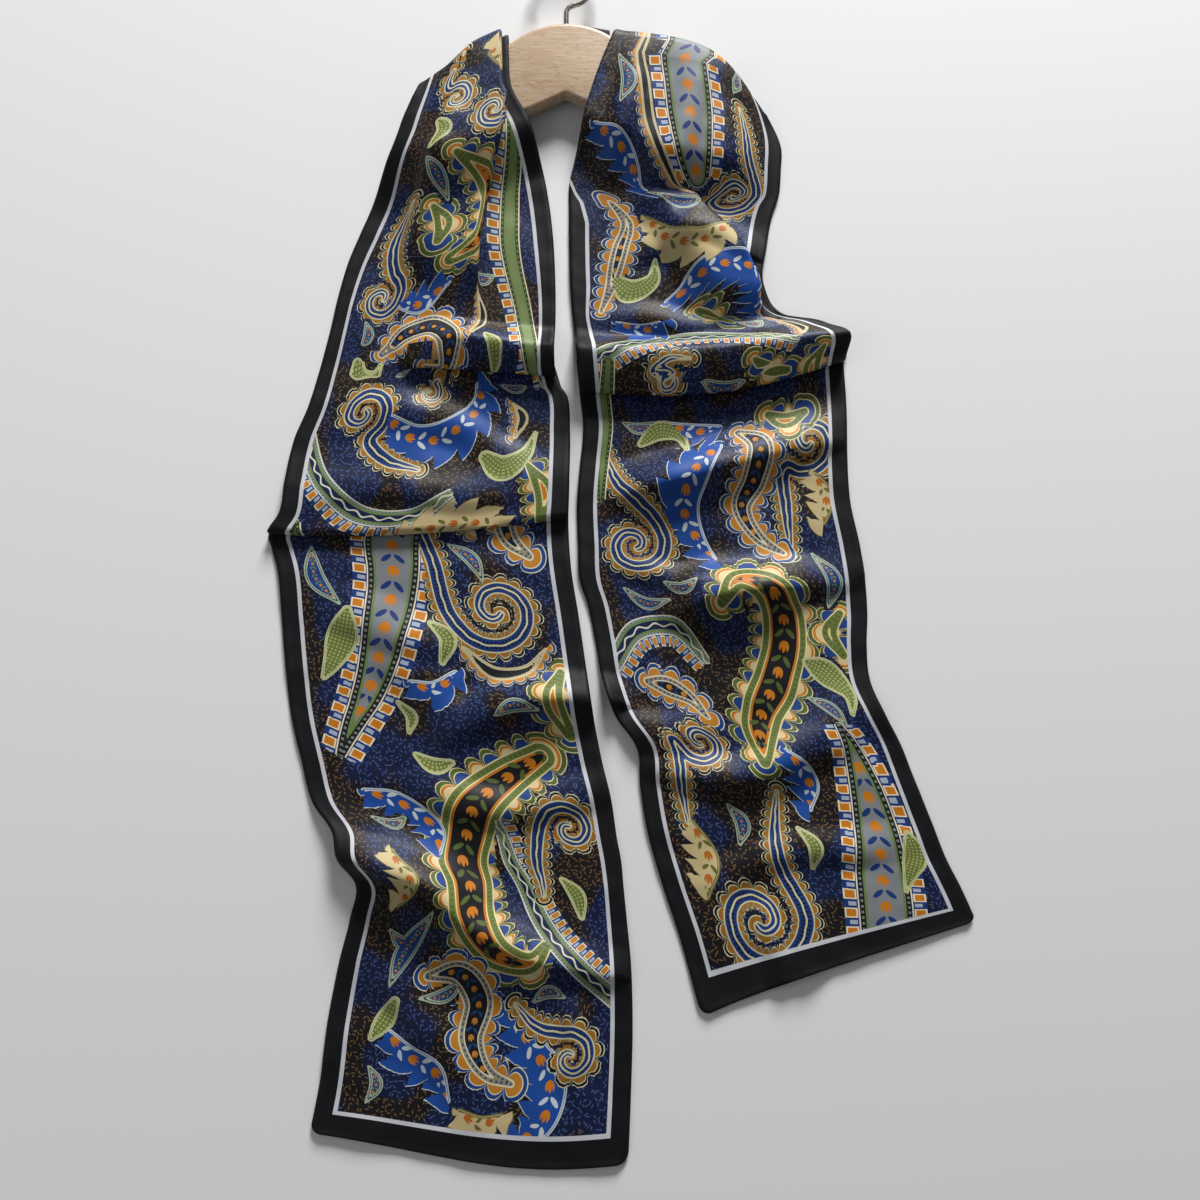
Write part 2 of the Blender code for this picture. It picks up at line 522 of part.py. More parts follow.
def build_neck():
    """The stretch beneath the hanger: its folded layers as one rounded solid."""
    share = np.array(BAND_SHARES)
    guides = [wrap_end(Fall(LEFT_SECTIONS, LEFT_PLEAT), 1.0 - share)]
    for upper_x, upper_y, lower_x, lower_y in BAND_MIDDLE:
        guides.append(np.stack([upper_x + (lower_x - upper_x) * share,
                                upper_y + (lower_y - upper_y) * share], axis=-1))
    beneath_wrap = np.maximum((share - share[1]) / (1.0 - share[1]), 0.0)
    end = wrap_end(Fall(RIGHT_SECTIONS, RIGHT_PLEAT), beneath_wrap)
    end[0] = BAND_CORNER
    guides.append(end)
    guides = np.array(guides)
    along = np.linspace(0.0, len(guides) - 1.0, BAND_STATIONS)
    stations = np.arange(len(guides))
    lines = [[curve_through(stations, guides[:, column, axis], along) for axis in (0, 1)]
             for column in range(len(share))]
    rings = [band_section(line) for line in np.transpose(lines, (2, 0, 1))]
    side = (len(rings[0]) - 2 * (BAND_COLUMNS - 1)) // 2
    count = len(rings[0])
    beneath = list(range(side - 1, side + BAND_COLUMNS))
    above = [0] + list(range(count - 1, count - BAND_COLUMNS, -1)) + [2 * side + BAND_COLUMNS - 2]
    strip = [(above[i], beneath[i], beneath[i + 1], above[i + 1]) for i in range(BAND_COLUMNS)]
    ends = [tuple(range(side)), tuple(range(side + BAND_COLUMNS - 1, 2 * side + BAND_COLUMNS - 1))]
    ring_object("neck_stretch", rings, (0.02, 0.03, 0.09), 0.4, caps=strip + ends)


def ring_object(name, rings, colour, roughness, metallic=0.0, caps=None):
    """Solid through closed rings of equal count, each end closed by one face or by the given ones."""
    mesh = bpy.data.meshes.new(name)
    shape = bmesh.new()
    loops = [[shape.verts.new(np.asarray(place) * MM) for place in ring] for ring in rings]
    count = len(loops[0])
    for near, far in zip(loops, loops[1:]):
        for index in range(count):
            after = (index + 1) % count
            shape.faces.new((near[index], near[after], far[after], far[index]))
    for cap in caps or [tuple(range(count))]:
        shape.faces.new([loops[0][index] for index in reversed(cap)])
        shape.faces.new([loops[-1][index] for index in cap])
    bmesh.ops.recalc_face_normals(shape, faces=shape.faces)
    shape.to_mesh(mesh)
    shape.free()
    mesh.shade_smooth()
    return new_object(name, mesh, colour, roughness, metallic)


def wood_outline():
    """Outline of the hanger: crown, two arms with round ends and the notch beneath."""
    slope = np.array([math.cos(ARM_SLOPE), -math.sin(ARM_SLOPE)])
    outward = np.array([math.sin(ARM_SLOPE), math.cos(ARM_SLOPE)])
    angles = np.linspace(0.0, ARM_SLOPE, 8)
    crown = [np.array([math.sin(a), math.cos(a) - 1.0]) * CROWN_RADIUS for a in angles]
    arm_end = crown[-1] + slope * ARM_LENGTH
    centre = arm_end - outward * ARM_END_RADIUS
    turns = np.linspace(math.pi / 2 - ARM_SLOPE, -math.pi / 2 - ARM_SLOPE + math.radians(8), 11)
    end = [centre + ARM_END_RADIUS * np.array([math.cos(t), math.sin(t)]) for t in turns]
    apex = np.array([0.0, -NOTCH_HEIGHT])
    lower_end = end[-1]
    reach = lower_end[0]
    half = crown[1:] + end
    for share in np.linspace(1.0, 0.0, 8)[1:-1]:
        bend = share * (1 - share) * 4.0
        straight = lower_end + (apex - lower_end) * (1 - share)
        half.append(straight + np.array([0.0, -bend * reach * NOTCH_SAG]))
    mirrored = [np.array([-x, y]) for x, y in reversed(half)]
    return [crown[0]] + half + [apex] + mirrored


def build_wood():
    """Hanger body: the outline sawn from a board, its edges rounded, with the hook's bore."""
    shape = bmesh.new()
    low = [shape.verts.new((x * MM, y * MM, WOOD_UNDERSIDE * MM)) for x, y in wood_outline()]
    board = shape.faces.new(low)
    raised = bmesh.ops.extrude_face_region(shape, geom=[board])["geom"]
    top = [item for item in raised if isinstance(item, bmesh.types.BMVert)]
    bmesh.ops.translate(shape, verts=top, vec=(0.0, 0.0, WOOD_THICKNESS * MM))
    bmesh.ops.recalc_face_normals(shape, faces=shape.faces)
    mesh = bpy.data.meshes.new("hanger_wood")
    shape.to_mesh(mesh)
    shape.free()
    wood = new_object("hanger_wood", mesh, (0.55, 0.40, 0.26), 0.5)
    rounded = wood.modifiers.new("rounded edges", "BEVEL")
    rounded.width = WOOD_EDGE_ROUND * MM
    rounded.segments = 3
    rounded.limit_method = "ANGLE"
    rounded.angle_limit = math.radians(50)
    bpy.ops.mesh.primitive_cylinder_add(
        vertices=16, radius=BORE_RADIUS * MM, depth=2 * BORE_DEPTH * MM,
        location=(0.0, 0.0, (WOOD_UNDERSIDE + WOOD_THICKNESS / 2) * MM), rotation=(math.pi / 2, 0.0, 0.0))
    drill = bpy.context.object
    bore = wood.modifiers.new("bore", "BOOLEAN")
    bore.operation = "DIFFERENCE"
    bore.solver = "EXACT"
    bore.object = drill
    bpy.context.view_layer.update()
    evaluated = wood.evaluated_get(bpy.context.evaluated_depsgraph_get())
    finished = bpy.data.meshes.new_from_object(evaluated)
    wood.modifiers.clear()
    wood.data = finished
    bpy.data.objects.remove(drill, do_unlink=True)


def build_hook():
    """Round wire: straight stem, a bend to one side, then the open hook round its centre."""
    path = [(0.0, y) for y in np.linspace(STEM_END, STEM_TOP, 4)]
    for angle in np.linspace(0.0, STEM_BEND, 6)[1:]:
        path.append((STEM_BEND_RADIUS * (1 - math.cos(angle)), STEM_TOP + STEM_BEND_RADIUS * math.sin(angle)))
    for angle in np.linspace(-STEM_BEND, HOOK_END, 26)[1:]:
        path.append((HOOK_RADIUS * math.cos(angle), HOOK_CENTRE_Y + HOOK_RADIUS * math.sin(angle)))
    path = np.array(path)
    along = np.gradient(path, axis=0)
    along = along / np.linalg.norm(along, axis=1)[:, None]
    middle = WOOD_UNDERSIDE + WOOD_THICKNESS / 2
    tip = path[-1] + along[-1] * WIRE_RADIUS * 0.7
    stations = [(place, heading, WIRE_RADIUS) for place, heading in zip(path, along)]
    stations.append((tip, along[-1], WIRE_RADIUS * 0.6))
    rings = []
    for (x, y), (heading_x, heading_y), radius in stations:
        rings.append([(x - heading_y * radius * math.cos(a), y + heading_x * radius * math.cos(a),
                       middle + radius * math.sin(a)) for a in np.linspace(0.0, 2 * math.pi, 13)[:-1]])
    ring_object("hanger_hook", rings, (0.62, 0.62, 0.64), 0.25, 1.0)


def centre_on_origin():
    """Move everything so that the bottom centre of its box is the origin."""
    view = bpy.context.evaluated_depsgraph_get()
    corners = [item.matrix_world @ vertex.co for item in bpy.data.objects
               for vertex in item.evaluated_get(view).to_mesh().vertices]
    low = [min(place[axis] for place in corners) for axis in range(3)]
    high = [max(place[axis] for place in corners) for axis in range(3)]
    offset = np.array([-(low[0] + high[0]) / 2, -(low[1] + high[1]) / 2, -low[2]])
    for item in bpy.data.objects:
        item.data.transform(Matrix.Translation(offset))


def main():
    for item in list(bpy.data.objects):
        bpy.data.objects.remove(item, do_unlink=True)
    build_falls()
    build_neck()
    build_wood()
    build_hook()
    centre_on_origin()


main()
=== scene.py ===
import math
from collections import namedtuple
from functools import partial

import bmesh
import bpy
import numpy as np
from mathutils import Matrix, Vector, noise


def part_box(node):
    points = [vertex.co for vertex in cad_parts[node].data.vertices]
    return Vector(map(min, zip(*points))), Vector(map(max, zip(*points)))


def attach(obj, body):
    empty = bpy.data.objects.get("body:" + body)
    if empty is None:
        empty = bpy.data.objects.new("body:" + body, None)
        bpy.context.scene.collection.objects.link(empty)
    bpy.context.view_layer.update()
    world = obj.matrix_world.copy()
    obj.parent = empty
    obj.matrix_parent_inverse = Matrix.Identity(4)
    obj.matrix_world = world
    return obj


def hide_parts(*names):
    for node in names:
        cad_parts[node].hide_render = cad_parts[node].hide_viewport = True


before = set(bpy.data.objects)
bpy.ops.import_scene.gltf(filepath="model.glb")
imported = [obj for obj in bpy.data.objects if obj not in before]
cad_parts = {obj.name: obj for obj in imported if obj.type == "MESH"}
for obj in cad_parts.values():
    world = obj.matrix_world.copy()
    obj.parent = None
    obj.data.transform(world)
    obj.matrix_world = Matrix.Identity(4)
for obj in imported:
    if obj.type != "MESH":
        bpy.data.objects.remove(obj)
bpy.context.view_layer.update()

bpy.ops.object.select_all(action="DESELECT")

# Hanger body.
# A small flat hanger sawn from beech, its edges rounded over with a router and sanded, then given
# a thin satin lacquer. It lies on the folded neck of the scarf and its arms are inside the falls.

# Sizes are in millimetres, from the middle of the hanger's top edge; this turns them into metres
MM = 0.001
wood_low, wood_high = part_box("hanger_wood")
LAY_X = (wood_low.x + wood_high.x) / 2 / MM
LAY_Y = wood_high.y / MM

WOOD_UNDERSIDE = 4.8
WOOD_THICKNESS = 10
WOOD_TOP = WOOD_UNDERSIDE + WOOD_THICKNESS
WOOD_EDGE_ROUND = 3
CROWN_RADIUS = 47.6
ARM_SLOPE = math.radians(38)
ARM_LENGTH = 64
ARM_END_RADIUS = 14
NOTCH_HEIGHT = 47.2
NOTCH_SLOPE = 0.44
NOTCH_SAG = 0.04


def on_lay(x, y, z):
    """Place in metres of a point given in millimetres from the middle of the hanger's top edge."""
    return Vector(((x + LAY_X) * MM, (y + LAY_Y) * MM, z * MM))


def colour(code):
    """Linear colour of an sRGB hex value."""
    parts = [int(code[i:i + 2], 16) / 255 for i in (1, 3, 5)]
    return (*[p / 12.92 if p <= 0.04045 else ((p + 0.055) / 1.055) ** 2.4 for p in parts], 1.0)


def plug(node, sockets):
    """Give a node's sockets numbers, hex colours or outputs; a node stands for its first output."""
    for name, value in sockets.items():
        if isinstance(value, bpy.types.Node):
            value = next(output for output in value.outputs if output.enabled)
        if isinstance(value, bpy.types.NodeSocket):
            node.id_data.links.new(value, node.inputs[name])
        else:
            node.inputs[name].default_value = colour(value) if isinstance(value, str) else value


MODE_SETTING = {"Math": "operation", "VectorMath": "operation", "Mix": "data_type",
                "MapRange": "interpolation_type", "TexVoronoi": "voronoi_dimensions",
                "VectorRotate": "rotation_type", "Attribute": "attribute_name"}


def add_node(tree, kind, *values, **named):
    """Node of a kind, with its mode after a space; a kind in capitals is an operation of the Math
    node. The values go to its open sockets in order, and any left over to more nodes like it."""
    family, _, mode = ("Math " + kind if kind.isupper() else kind).partition(" ")
    node = tree.nodes.new("ShaderNode" + family)
    if mode:
        setattr(node, MODE_SETTING[family], mode)
    places = [place for place, socket in enumerate(node.inputs) if socket.enabled]
    plug(node, dict(zip(places, values)))
    plug(node, named)
    left_over = values[len(places):]
    return add_node(tree, kind, node, *left_over) if left_over else node


def start_material(name):
    """New material, the way to add nodes to it, and its shader."""
    material = bpy.data.materials.new(name)
    material.use_nodes = True
    tree = material.node_tree
    return material, partial(add_node, tree), tree.nodes["Principled BSDF"]


def fill_ramp(node, stops):
    """Colour ramp stops, as places and hex colours."""
    ramp = node.color_ramp
    while len(ramp.elements) < len(stops):
        ramp.elements.new(1.0)
    for element, (place, code) in zip(ramp.elements, stops):
        element.position = place
        element.color = colour(code)
    return node


def finish_piece(piece, name, replaced):
    """Name the piece and its mesh, and put it on the body in place of its solid."""
    piece.name = name
    piece.data.name = name
    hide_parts(replaced)
    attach(piece, "root")


def lacquered_beech():
    """Beech: pale pinkish tan with fine long grain and short darker flecks, under satin lacquer."""
    material, node, shader = start_material("lacquered_beech")
    place = node("TexCoord").outputs["Object"]
    grain, fleck, block = [
        node("TexNoise", Vector=node("Mapping", Vector=place, Scale=stretch), Scale=1, Detail=detail)
        for stretch, detail in (((90, 900, 500), 4), ((250, 1600, 900), 1), ((1000 / 26, 0, 0), 0))]
    tone = node("MULTIPLY_ADD", block, 0.25, node("MULTIPLY_ADD", grain, 0.75, 0.12))
    ramp = fill_ramp(node("ValToRGB", tone), [(0.3, "#a98766"), (0.52, "#bd9f7d"), (0.75, "#cab294")])
    plug(shader, {"Base Color": node("Mix RGBA", node("MapRange", fleck, 0.60, 0.72), ramp, "#98775a"),
                  "Normal": node("Bump", Strength=0.25, Distance=0.0002, Height=grain),
                  "Roughness": 0.42, "Coat Weight": 0.25, "Coat Roughness": 0.25})
    return material


def hanger_outline():
    """Outline of the hanger: crown, two arms with round ends and the notch beneath."""
    slope = np.array([math.cos(ARM_SLOPE), -math.sin(ARM_SLOPE)])
    outward = np.array([math.sin(ARM_SLOPE), math.cos(ARM_SLOPE)])
    angles = np.linspace(0.0, ARM_SLOPE, 22)
    crown = [np.array([math.sin(a), math.cos(a) - 1.0]) * CROWN_RADIUS for a in angles]
    arm_end = crown[-1] + slope * ARM_LENGTH
    centre = arm_end - outward * ARM_END_RADIUS
    turns = np.linspace(math.pi / 2 - ARM_SLOPE, -math.pi / 2 - ARM_SLOPE + math.radians(8), 24)
    end = [centre + ARM_END_RADIUS * np.array([math.cos(t), math.sin(t)]) for t in turns]
    apex = np.array([0.0, -NOTCH_HEIGHT])
    half = crown[1:] + end
    for share in np.linspace(1.0, 0.0, 18)[1:-1]:
        bend = share * (1 - share) * 4.0
        straight = end[-1] + (apex - end[-1]) * (1 - share)
        half.append(straight + np.array([0.0, -bend * end[-1][0] * NOTCH_SAG]))
    return [crown[0]] + half + [apex] + [np.array([-x, y]) for x, y in reversed(half)]


outline = hanger_outline()
bpy.ops.mesh.primitive_circle_add(vertices=len(outline), radius=0.05, fill_type="NGON")
hanger = bpy.context.object
for vertex, (x, y) in zip(hanger.data.vertices, outline):
    vertex.co = on_lay(x, y, WOOD_UNDERSIDE)
bpy.ops.object.mode_set(mode="EDIT")
bpy.ops.mesh.select_all(action="SELECT")
bpy.ops.mesh.extrude_region_move(TRANSFORM_OT_translate={"value": (0.0, 0.0, WOOD_THICKNESS * MM)})
bpy.ops.mesh.select_all(action="SELECT")
bpy.ops.mesh.normals_make_consistent(inside=False)
bpy.ops.object.mode_set(mode="OBJECT")
rounded = hanger.modifiers.new("rounded edges", "BEVEL")
rounded.width = WOOD_EDGE_ROUND * MM
rounded.segments = 6
rounded.limit_method = "ANGLE"
rounded.angle_limit = math.radians(50)
bpy.ops.object.modifier_apply(modifier="rounded edges")
bpy.ops.object.shade_smooth_by_angle(angle=math.radians(35))
hanger.data.materials.append(lacquered_beech())
finish_piece(hanger, "beech_hanger", "hanger_wood")
bpy.ops.object.select_all(action="DESELECT")

# Hook.
# Round steel wire, bent cold over a former, nickel plated and polished. Its straight stem is
# pressed into a drilled hole in the top edge of the wood, and its tip is rounded off.
WIRE_RADIUS = 1.7
STEM_END = -13.7
STEM_TOP = 8.5
STEM_BEND = math.radians(75)
STEM_BEND_RADIUS = 6.3
HOOK_RADIUS = 18.0
HOOK_CENTRE_Y = 32.0
HOOK_END = math.radians(196)
WIRE_HEIGHT = WOOD_UNDERSIDE + WOOD_THICKNESS / 2


def polished_nickel():
    """Nickel plate on steel: warm grey mirror, softened by fine drawing lines and handling marks."""
    material, node, shader = start_material("polished_nickel")
    marks = node("TexNoise", Vector=node("TexCoord").outputs["Object"], Scale=400, Detail=3)
    plug(shader, {"Base Color": fill_ramp(node("ValToRGB", marks), [(0.3, "#b9b4aa"), (0.7, "#d3cfc6")]),
                  "Roughness": node("MapRange", marks, 0, 1, 0.16, 0.34), "Metallic": 1})
    return material


bpy.ops.mesh.primitive_circle_add(vertices=24, radius=WIRE_RADIUS * MM, fill_type="NOTHING",
                                  location=on_lay(0.0, STEM_END, WIRE_HEIGHT),
                                  rotation=(math.pi / 2, 0.0, 0.0))
hook = bpy.context.object
bpy.ops.object.transform_apply(location=True, rotation=True, scale=True)
bpy.ops.object.mode_set(mode="EDIT")
bpy.ops.mesh.select_all(action="SELECT")
bpy.ops.mesh.extrude_region_move(
    TRANSFORM_OT_translate={"value": (0.0, (STEM_TOP - STEM_END) * MM, 0.0)})
bpy.ops.mesh.spin(steps=12, angle=STEM_BEND, center=on_lay(STEM_BEND_RADIUS, STEM_TOP, WIRE_HEIGHT),
                  axis=(0.0, 0.0, 1.0))
bpy.ops.mesh.spin(steps=64, angle=STEM_BEND + HOOK_END,
                  center=on_lay(0.0, HOOK_CENTRE_Y, WIRE_HEIGHT), axis=(0.0, 0.0, -1.0))
tip = on_lay(HOOK_RADIUS * math.cos(HOOK_END), HOOK_CENTRE_Y + HOOK_RADIUS * math.sin(HOOK_END),
             WIRE_HEIGHT)
onward = Vector((-math.sin(HOOK_END), math.cos(HOOK_END), 0.0))
for reach, size in ((0.45, 0.89), (0.35, 0.65), (0.2, 0.3)):
    step = onward * WIRE_RADIUS * reach * MM
    tip += step
    bpy.ops.mesh.extrude_region_move(TRANSFORM_OT_translate={"value": step})
    bpy.ops.transform.resize(value=(size, size, size), center_override=tip)
bpy.ops.mesh.edge_face_add()
bpy.ops.mesh.select_all(action="DESELECT")
bpy.ops.mesh.select_non_manifold()
bpy.ops.mesh.edge_face_add()
bpy.ops.mesh.select_all(action="SELECT")
bpy.ops.mesh.remove_doubles(threshold=0.00001)
bpy.ops.mesh.normals_make_consistent(inside=False)
bpy.ops.object.mode_set(mode="OBJECT")
bpy.ops.object.shade_smooth_by_angle(angle=math.radians(50))
hook.data.materials.append(polished_nickel())
finish_piece(hook, "nickel_hook", "hanger_hook")
bpy.ops.object.select_all(action="DESELECT")

# Scarf, left end.
# One long strip of polyester satin, doubled and turned out so that its edges are soft rolls, with
# the paisley printed on both sides. It comes round the hanger's arm, lies in a lengthwise pleat,
# a soft fold and a crisp crosswise tuck, and ends in a square hem.
THICK = 0.9
EDGE_THICK = 1.5
EDGE_ROLL_AT = 2.0
EDGE_ROLL_WIDTH = 1.6
CAD_WALL = 1.2
LAYER_PITCH = 2.4
MIN_ROUND = 1.4
FLAT = CAD_WALL / 2
CLOTH_WIDTH = 160
SIDE_BORDER = 9.5
HEM_BORDER = 14
WHITE_LINE = 2.2
CORNER_RADIUS = 6
ARM_LIFT = WOOD_TOP + 0.4
LIFT_PAST_EDGE = 6
DOWN_FROM_ARM = 36
ARM_REACH = 86.5
PAST_ARM_END = 46
SETTLE_LENGTH = 24
HIDDEN_GAP = 0.3
HIDDEN_RISE = 10
ROW_STEP = 1.35
TURN_STEPS = 7
OPEN_ROW = 0.94
CLOTH_COLUMNS = 116
PLEAT_TOP_CELLS = 62
PLEAT_FRONT_CELLS = 38
PLEAT_TO_SIDE = 6
PLEAT_SLOPE = 24
FOLDED_OVER = 0.6
WRAP = 34

# Across each section the cloth runs from its left to its right side. The pleat's edge is so far
# from the left side, with so much tucked beneath it. What a row leaves out is as usual.
Section = namedtuple("Section", "name left_x left_y right_x right_y edge tuck round bow lean",
                     defaults=(88, 4, 0.9, 0, 1))
CrossFold = namedtuple("CrossFold", "lip depth round climb grows_from grows_to")
Ridge = namedtuple("Ridge", "name reach_left reach_right crest")

LEFT_SECTIONS = [
    Section("shoulder fold", -84, -36, -34.5, -2.3, 63, 12, 0.8, -3),
    Section("on the arm", -90.5, -51.5, -33.5, -24, 65, 16, 0.9, -1),
    Section("border shows", -95.5, -64, -31.6, -44.5, 65.2, 22, 1.4),
    Section("off the arm", -99.5, -76.5, -22, -63, 65.1, 26, 2),
    Section("upper chest", -106, -92.5, -14.4, -87, 66.2, 28, 2.4),
    Section("pleat opens 1", -112.2, -111, -10.2, -107.8, 67.1, 26, 2.6),
    Section("pleat opens 2", -119.8, -131, -7.1, -133.5, 71, 22, 2.6),
    Section("pleat opens 3", -126.2, -149.4, -5.8, -155.7, 76, 17, 2.4),
    Section("pleat opens 4", -131.2, -170.7, -5.3, -176.5, 80.3, 12, 1.8),
    Section("pleat ends", -135, -191.8, -5.5, -199, 84, 7, 1.2),
    Section("soft fold", -139.5, -213, -4.8, -220.9, bow=-1),
    Section("below soft fold", -145, -236, 1.8, -232),
    Section("full width", -152.7, -258, 3.3, -252, bow=1),
    Section("above the tuck", -156.5, -284.6, 3.2, -279.5, bow=3, lean=0.9),
    Section("side turns out", -158.6, -302, 2.8, -295, bow=4.2, lean=0.8),
    Section("tuck lip", -164.6, -312.6, 2.6, -304.6, bow=4.6, lean=0.8),
    Section("below the tuck", -162.6, -320.5, 3, -316.8, bow=3, lean=0.9),
    Section("left side settles", -158.9, -332, 4, -330),
    Section("lower fall 1", -154.7, -361.9, 8.7, -360.8),
    Section("lower fall 2", -151.9, -384.3, 12.1, -384.3),
    Section("lower fall 3", -146.6, -417.3, 17.2, -418.5),
    Section("lower fall 4", -140.5, -439.2, 21.6, -440.9),
    Section("lower fall 5", -133.6, -461.5, 26.4, -461),
    Section("above the notch", -121, -479.2, 29.3, -480.8),
    Section("notch lip", -118, -492.8, 31.6, -493.3),
    Section("notch", -109.2, -504.2, 32.6, -504.7),
    Section("below the notch", -111, -521.8, 34.4, -523.3),
    Section("end panel 1", -115.9, -544.8, 36.4, -544.8, bow=1),
    Section("end panel 2", -120.6, -573.5, 37.2, -576, bow=3, lean=1.2),
    Section("end panel 3", -123.3, -603, 36.2, -609.5, bow=5, lean=1.4),
    Section("hem", -127.6, -629.6, 34.6, -644.6, bow=7, lean=1.5),
]

RIGHT_SECTIONS = [
    Section("shoulder fold", 29.8, -2.6, 113, -47.5, 60, 4, 0.9, -15, 1.15),
    Section("on the arm", 20.3, -28.3, 122.6, -62, 60, 4, 0.9, -12, 1.15),
    Section("arm edge", 13.2, -51.4, 127.4, -75.4, 60, 4, 0.9, -8, 1.1),
    Section("off the arm", 6.8, -78.4, 127, -91.3, 64, 4, 0.9, -4),
    Section("pleat starts", 2.3, -97.4, 125.7, -105.2, 71, 9, 1.4),
    Section("pleat deepens", 2.1, -119.6, 120.9, -120.6, 83.5, 17, 2.6),
    Section("pleat full", 2.2, -138.7, 117.6, -138.7, 98.2, 20, 3),
    Section("pleat at the side", 2.9, -163.9, 115.2, -163.9, 110.6, 21, 3),
    Section("roll begins", 4.2, -181.5, 124.5, -181, 121.6, 17, 2.6),
    Section("roll back", 5.4, -193, 147.5, -188, 143.4, 8, 1.6),
    Section("roll crest", 6.6, -207.8, 161.2, -198.2, 120, 5, 1, 5),
    Section("roll lip", 8.7, -230.3, 160, -211.4, 100, 4, 0.9, 10.5),
    Section("below the roll", 10.7, -249.3, 160.4, -233.6, 100, 4, 0.9, 5),
    Section("lower fall 1", 9, -272.5, 159.8, -263.6),
    Section("lower fall 2", 7.4, -294.8, 160.4, -293),
    Section("lower fall 3", 8, -319.2, 164.9, -320.9),
    Section("lower fall 4", 9.2, -340.4, 167.3, -344.9),
    Section("lower fall 5", 13.2, -352.6, 167.5, -358.4),
    Section("side wave 1", 17.5, -373.1, 166.4, -376.4),
    Section("side wave 2", 21.4, -395.4, 167.6, -396.8),
    Section("side wave 3", 28.4, -415.6, 175, -415.2),
    Section("side wave 4", 39.8, -432.6, 182, -429.3),
    Section("side wave 5", 41.7, -452.5, 189.3, -449.8),
    Section("end panel 1", 45.4, -477, 197.2, -472.3),
    Section("end panel 2", 52.8, -504, 203.6, -490.8),
    Section("end panel 3", 62, -532.4, 210.6, -505.9),
    Section("hem", 73, -573.4, 218, -524, bow=-2.5, lean=0.55),
]

LEFT_PLEAT = ("shoulder fold", "shoulder fold", "upper chest", "pleat ends")
RIGHT_PLEAT = ("pleat starts", "pleat deepens", "pleat full", "roll back")
LEFT_SOFT_FOLD = CrossFold("soft fold", 9, 3, 22, 0.22, 0.68)
LEFT_TUCK = CrossFold("tuck lip", 24, 0.8, 30, -1, -0.5)
RIGHT_ROLL = CrossFold("roll lip", 16, 4.2, 14, -1, -0.5)

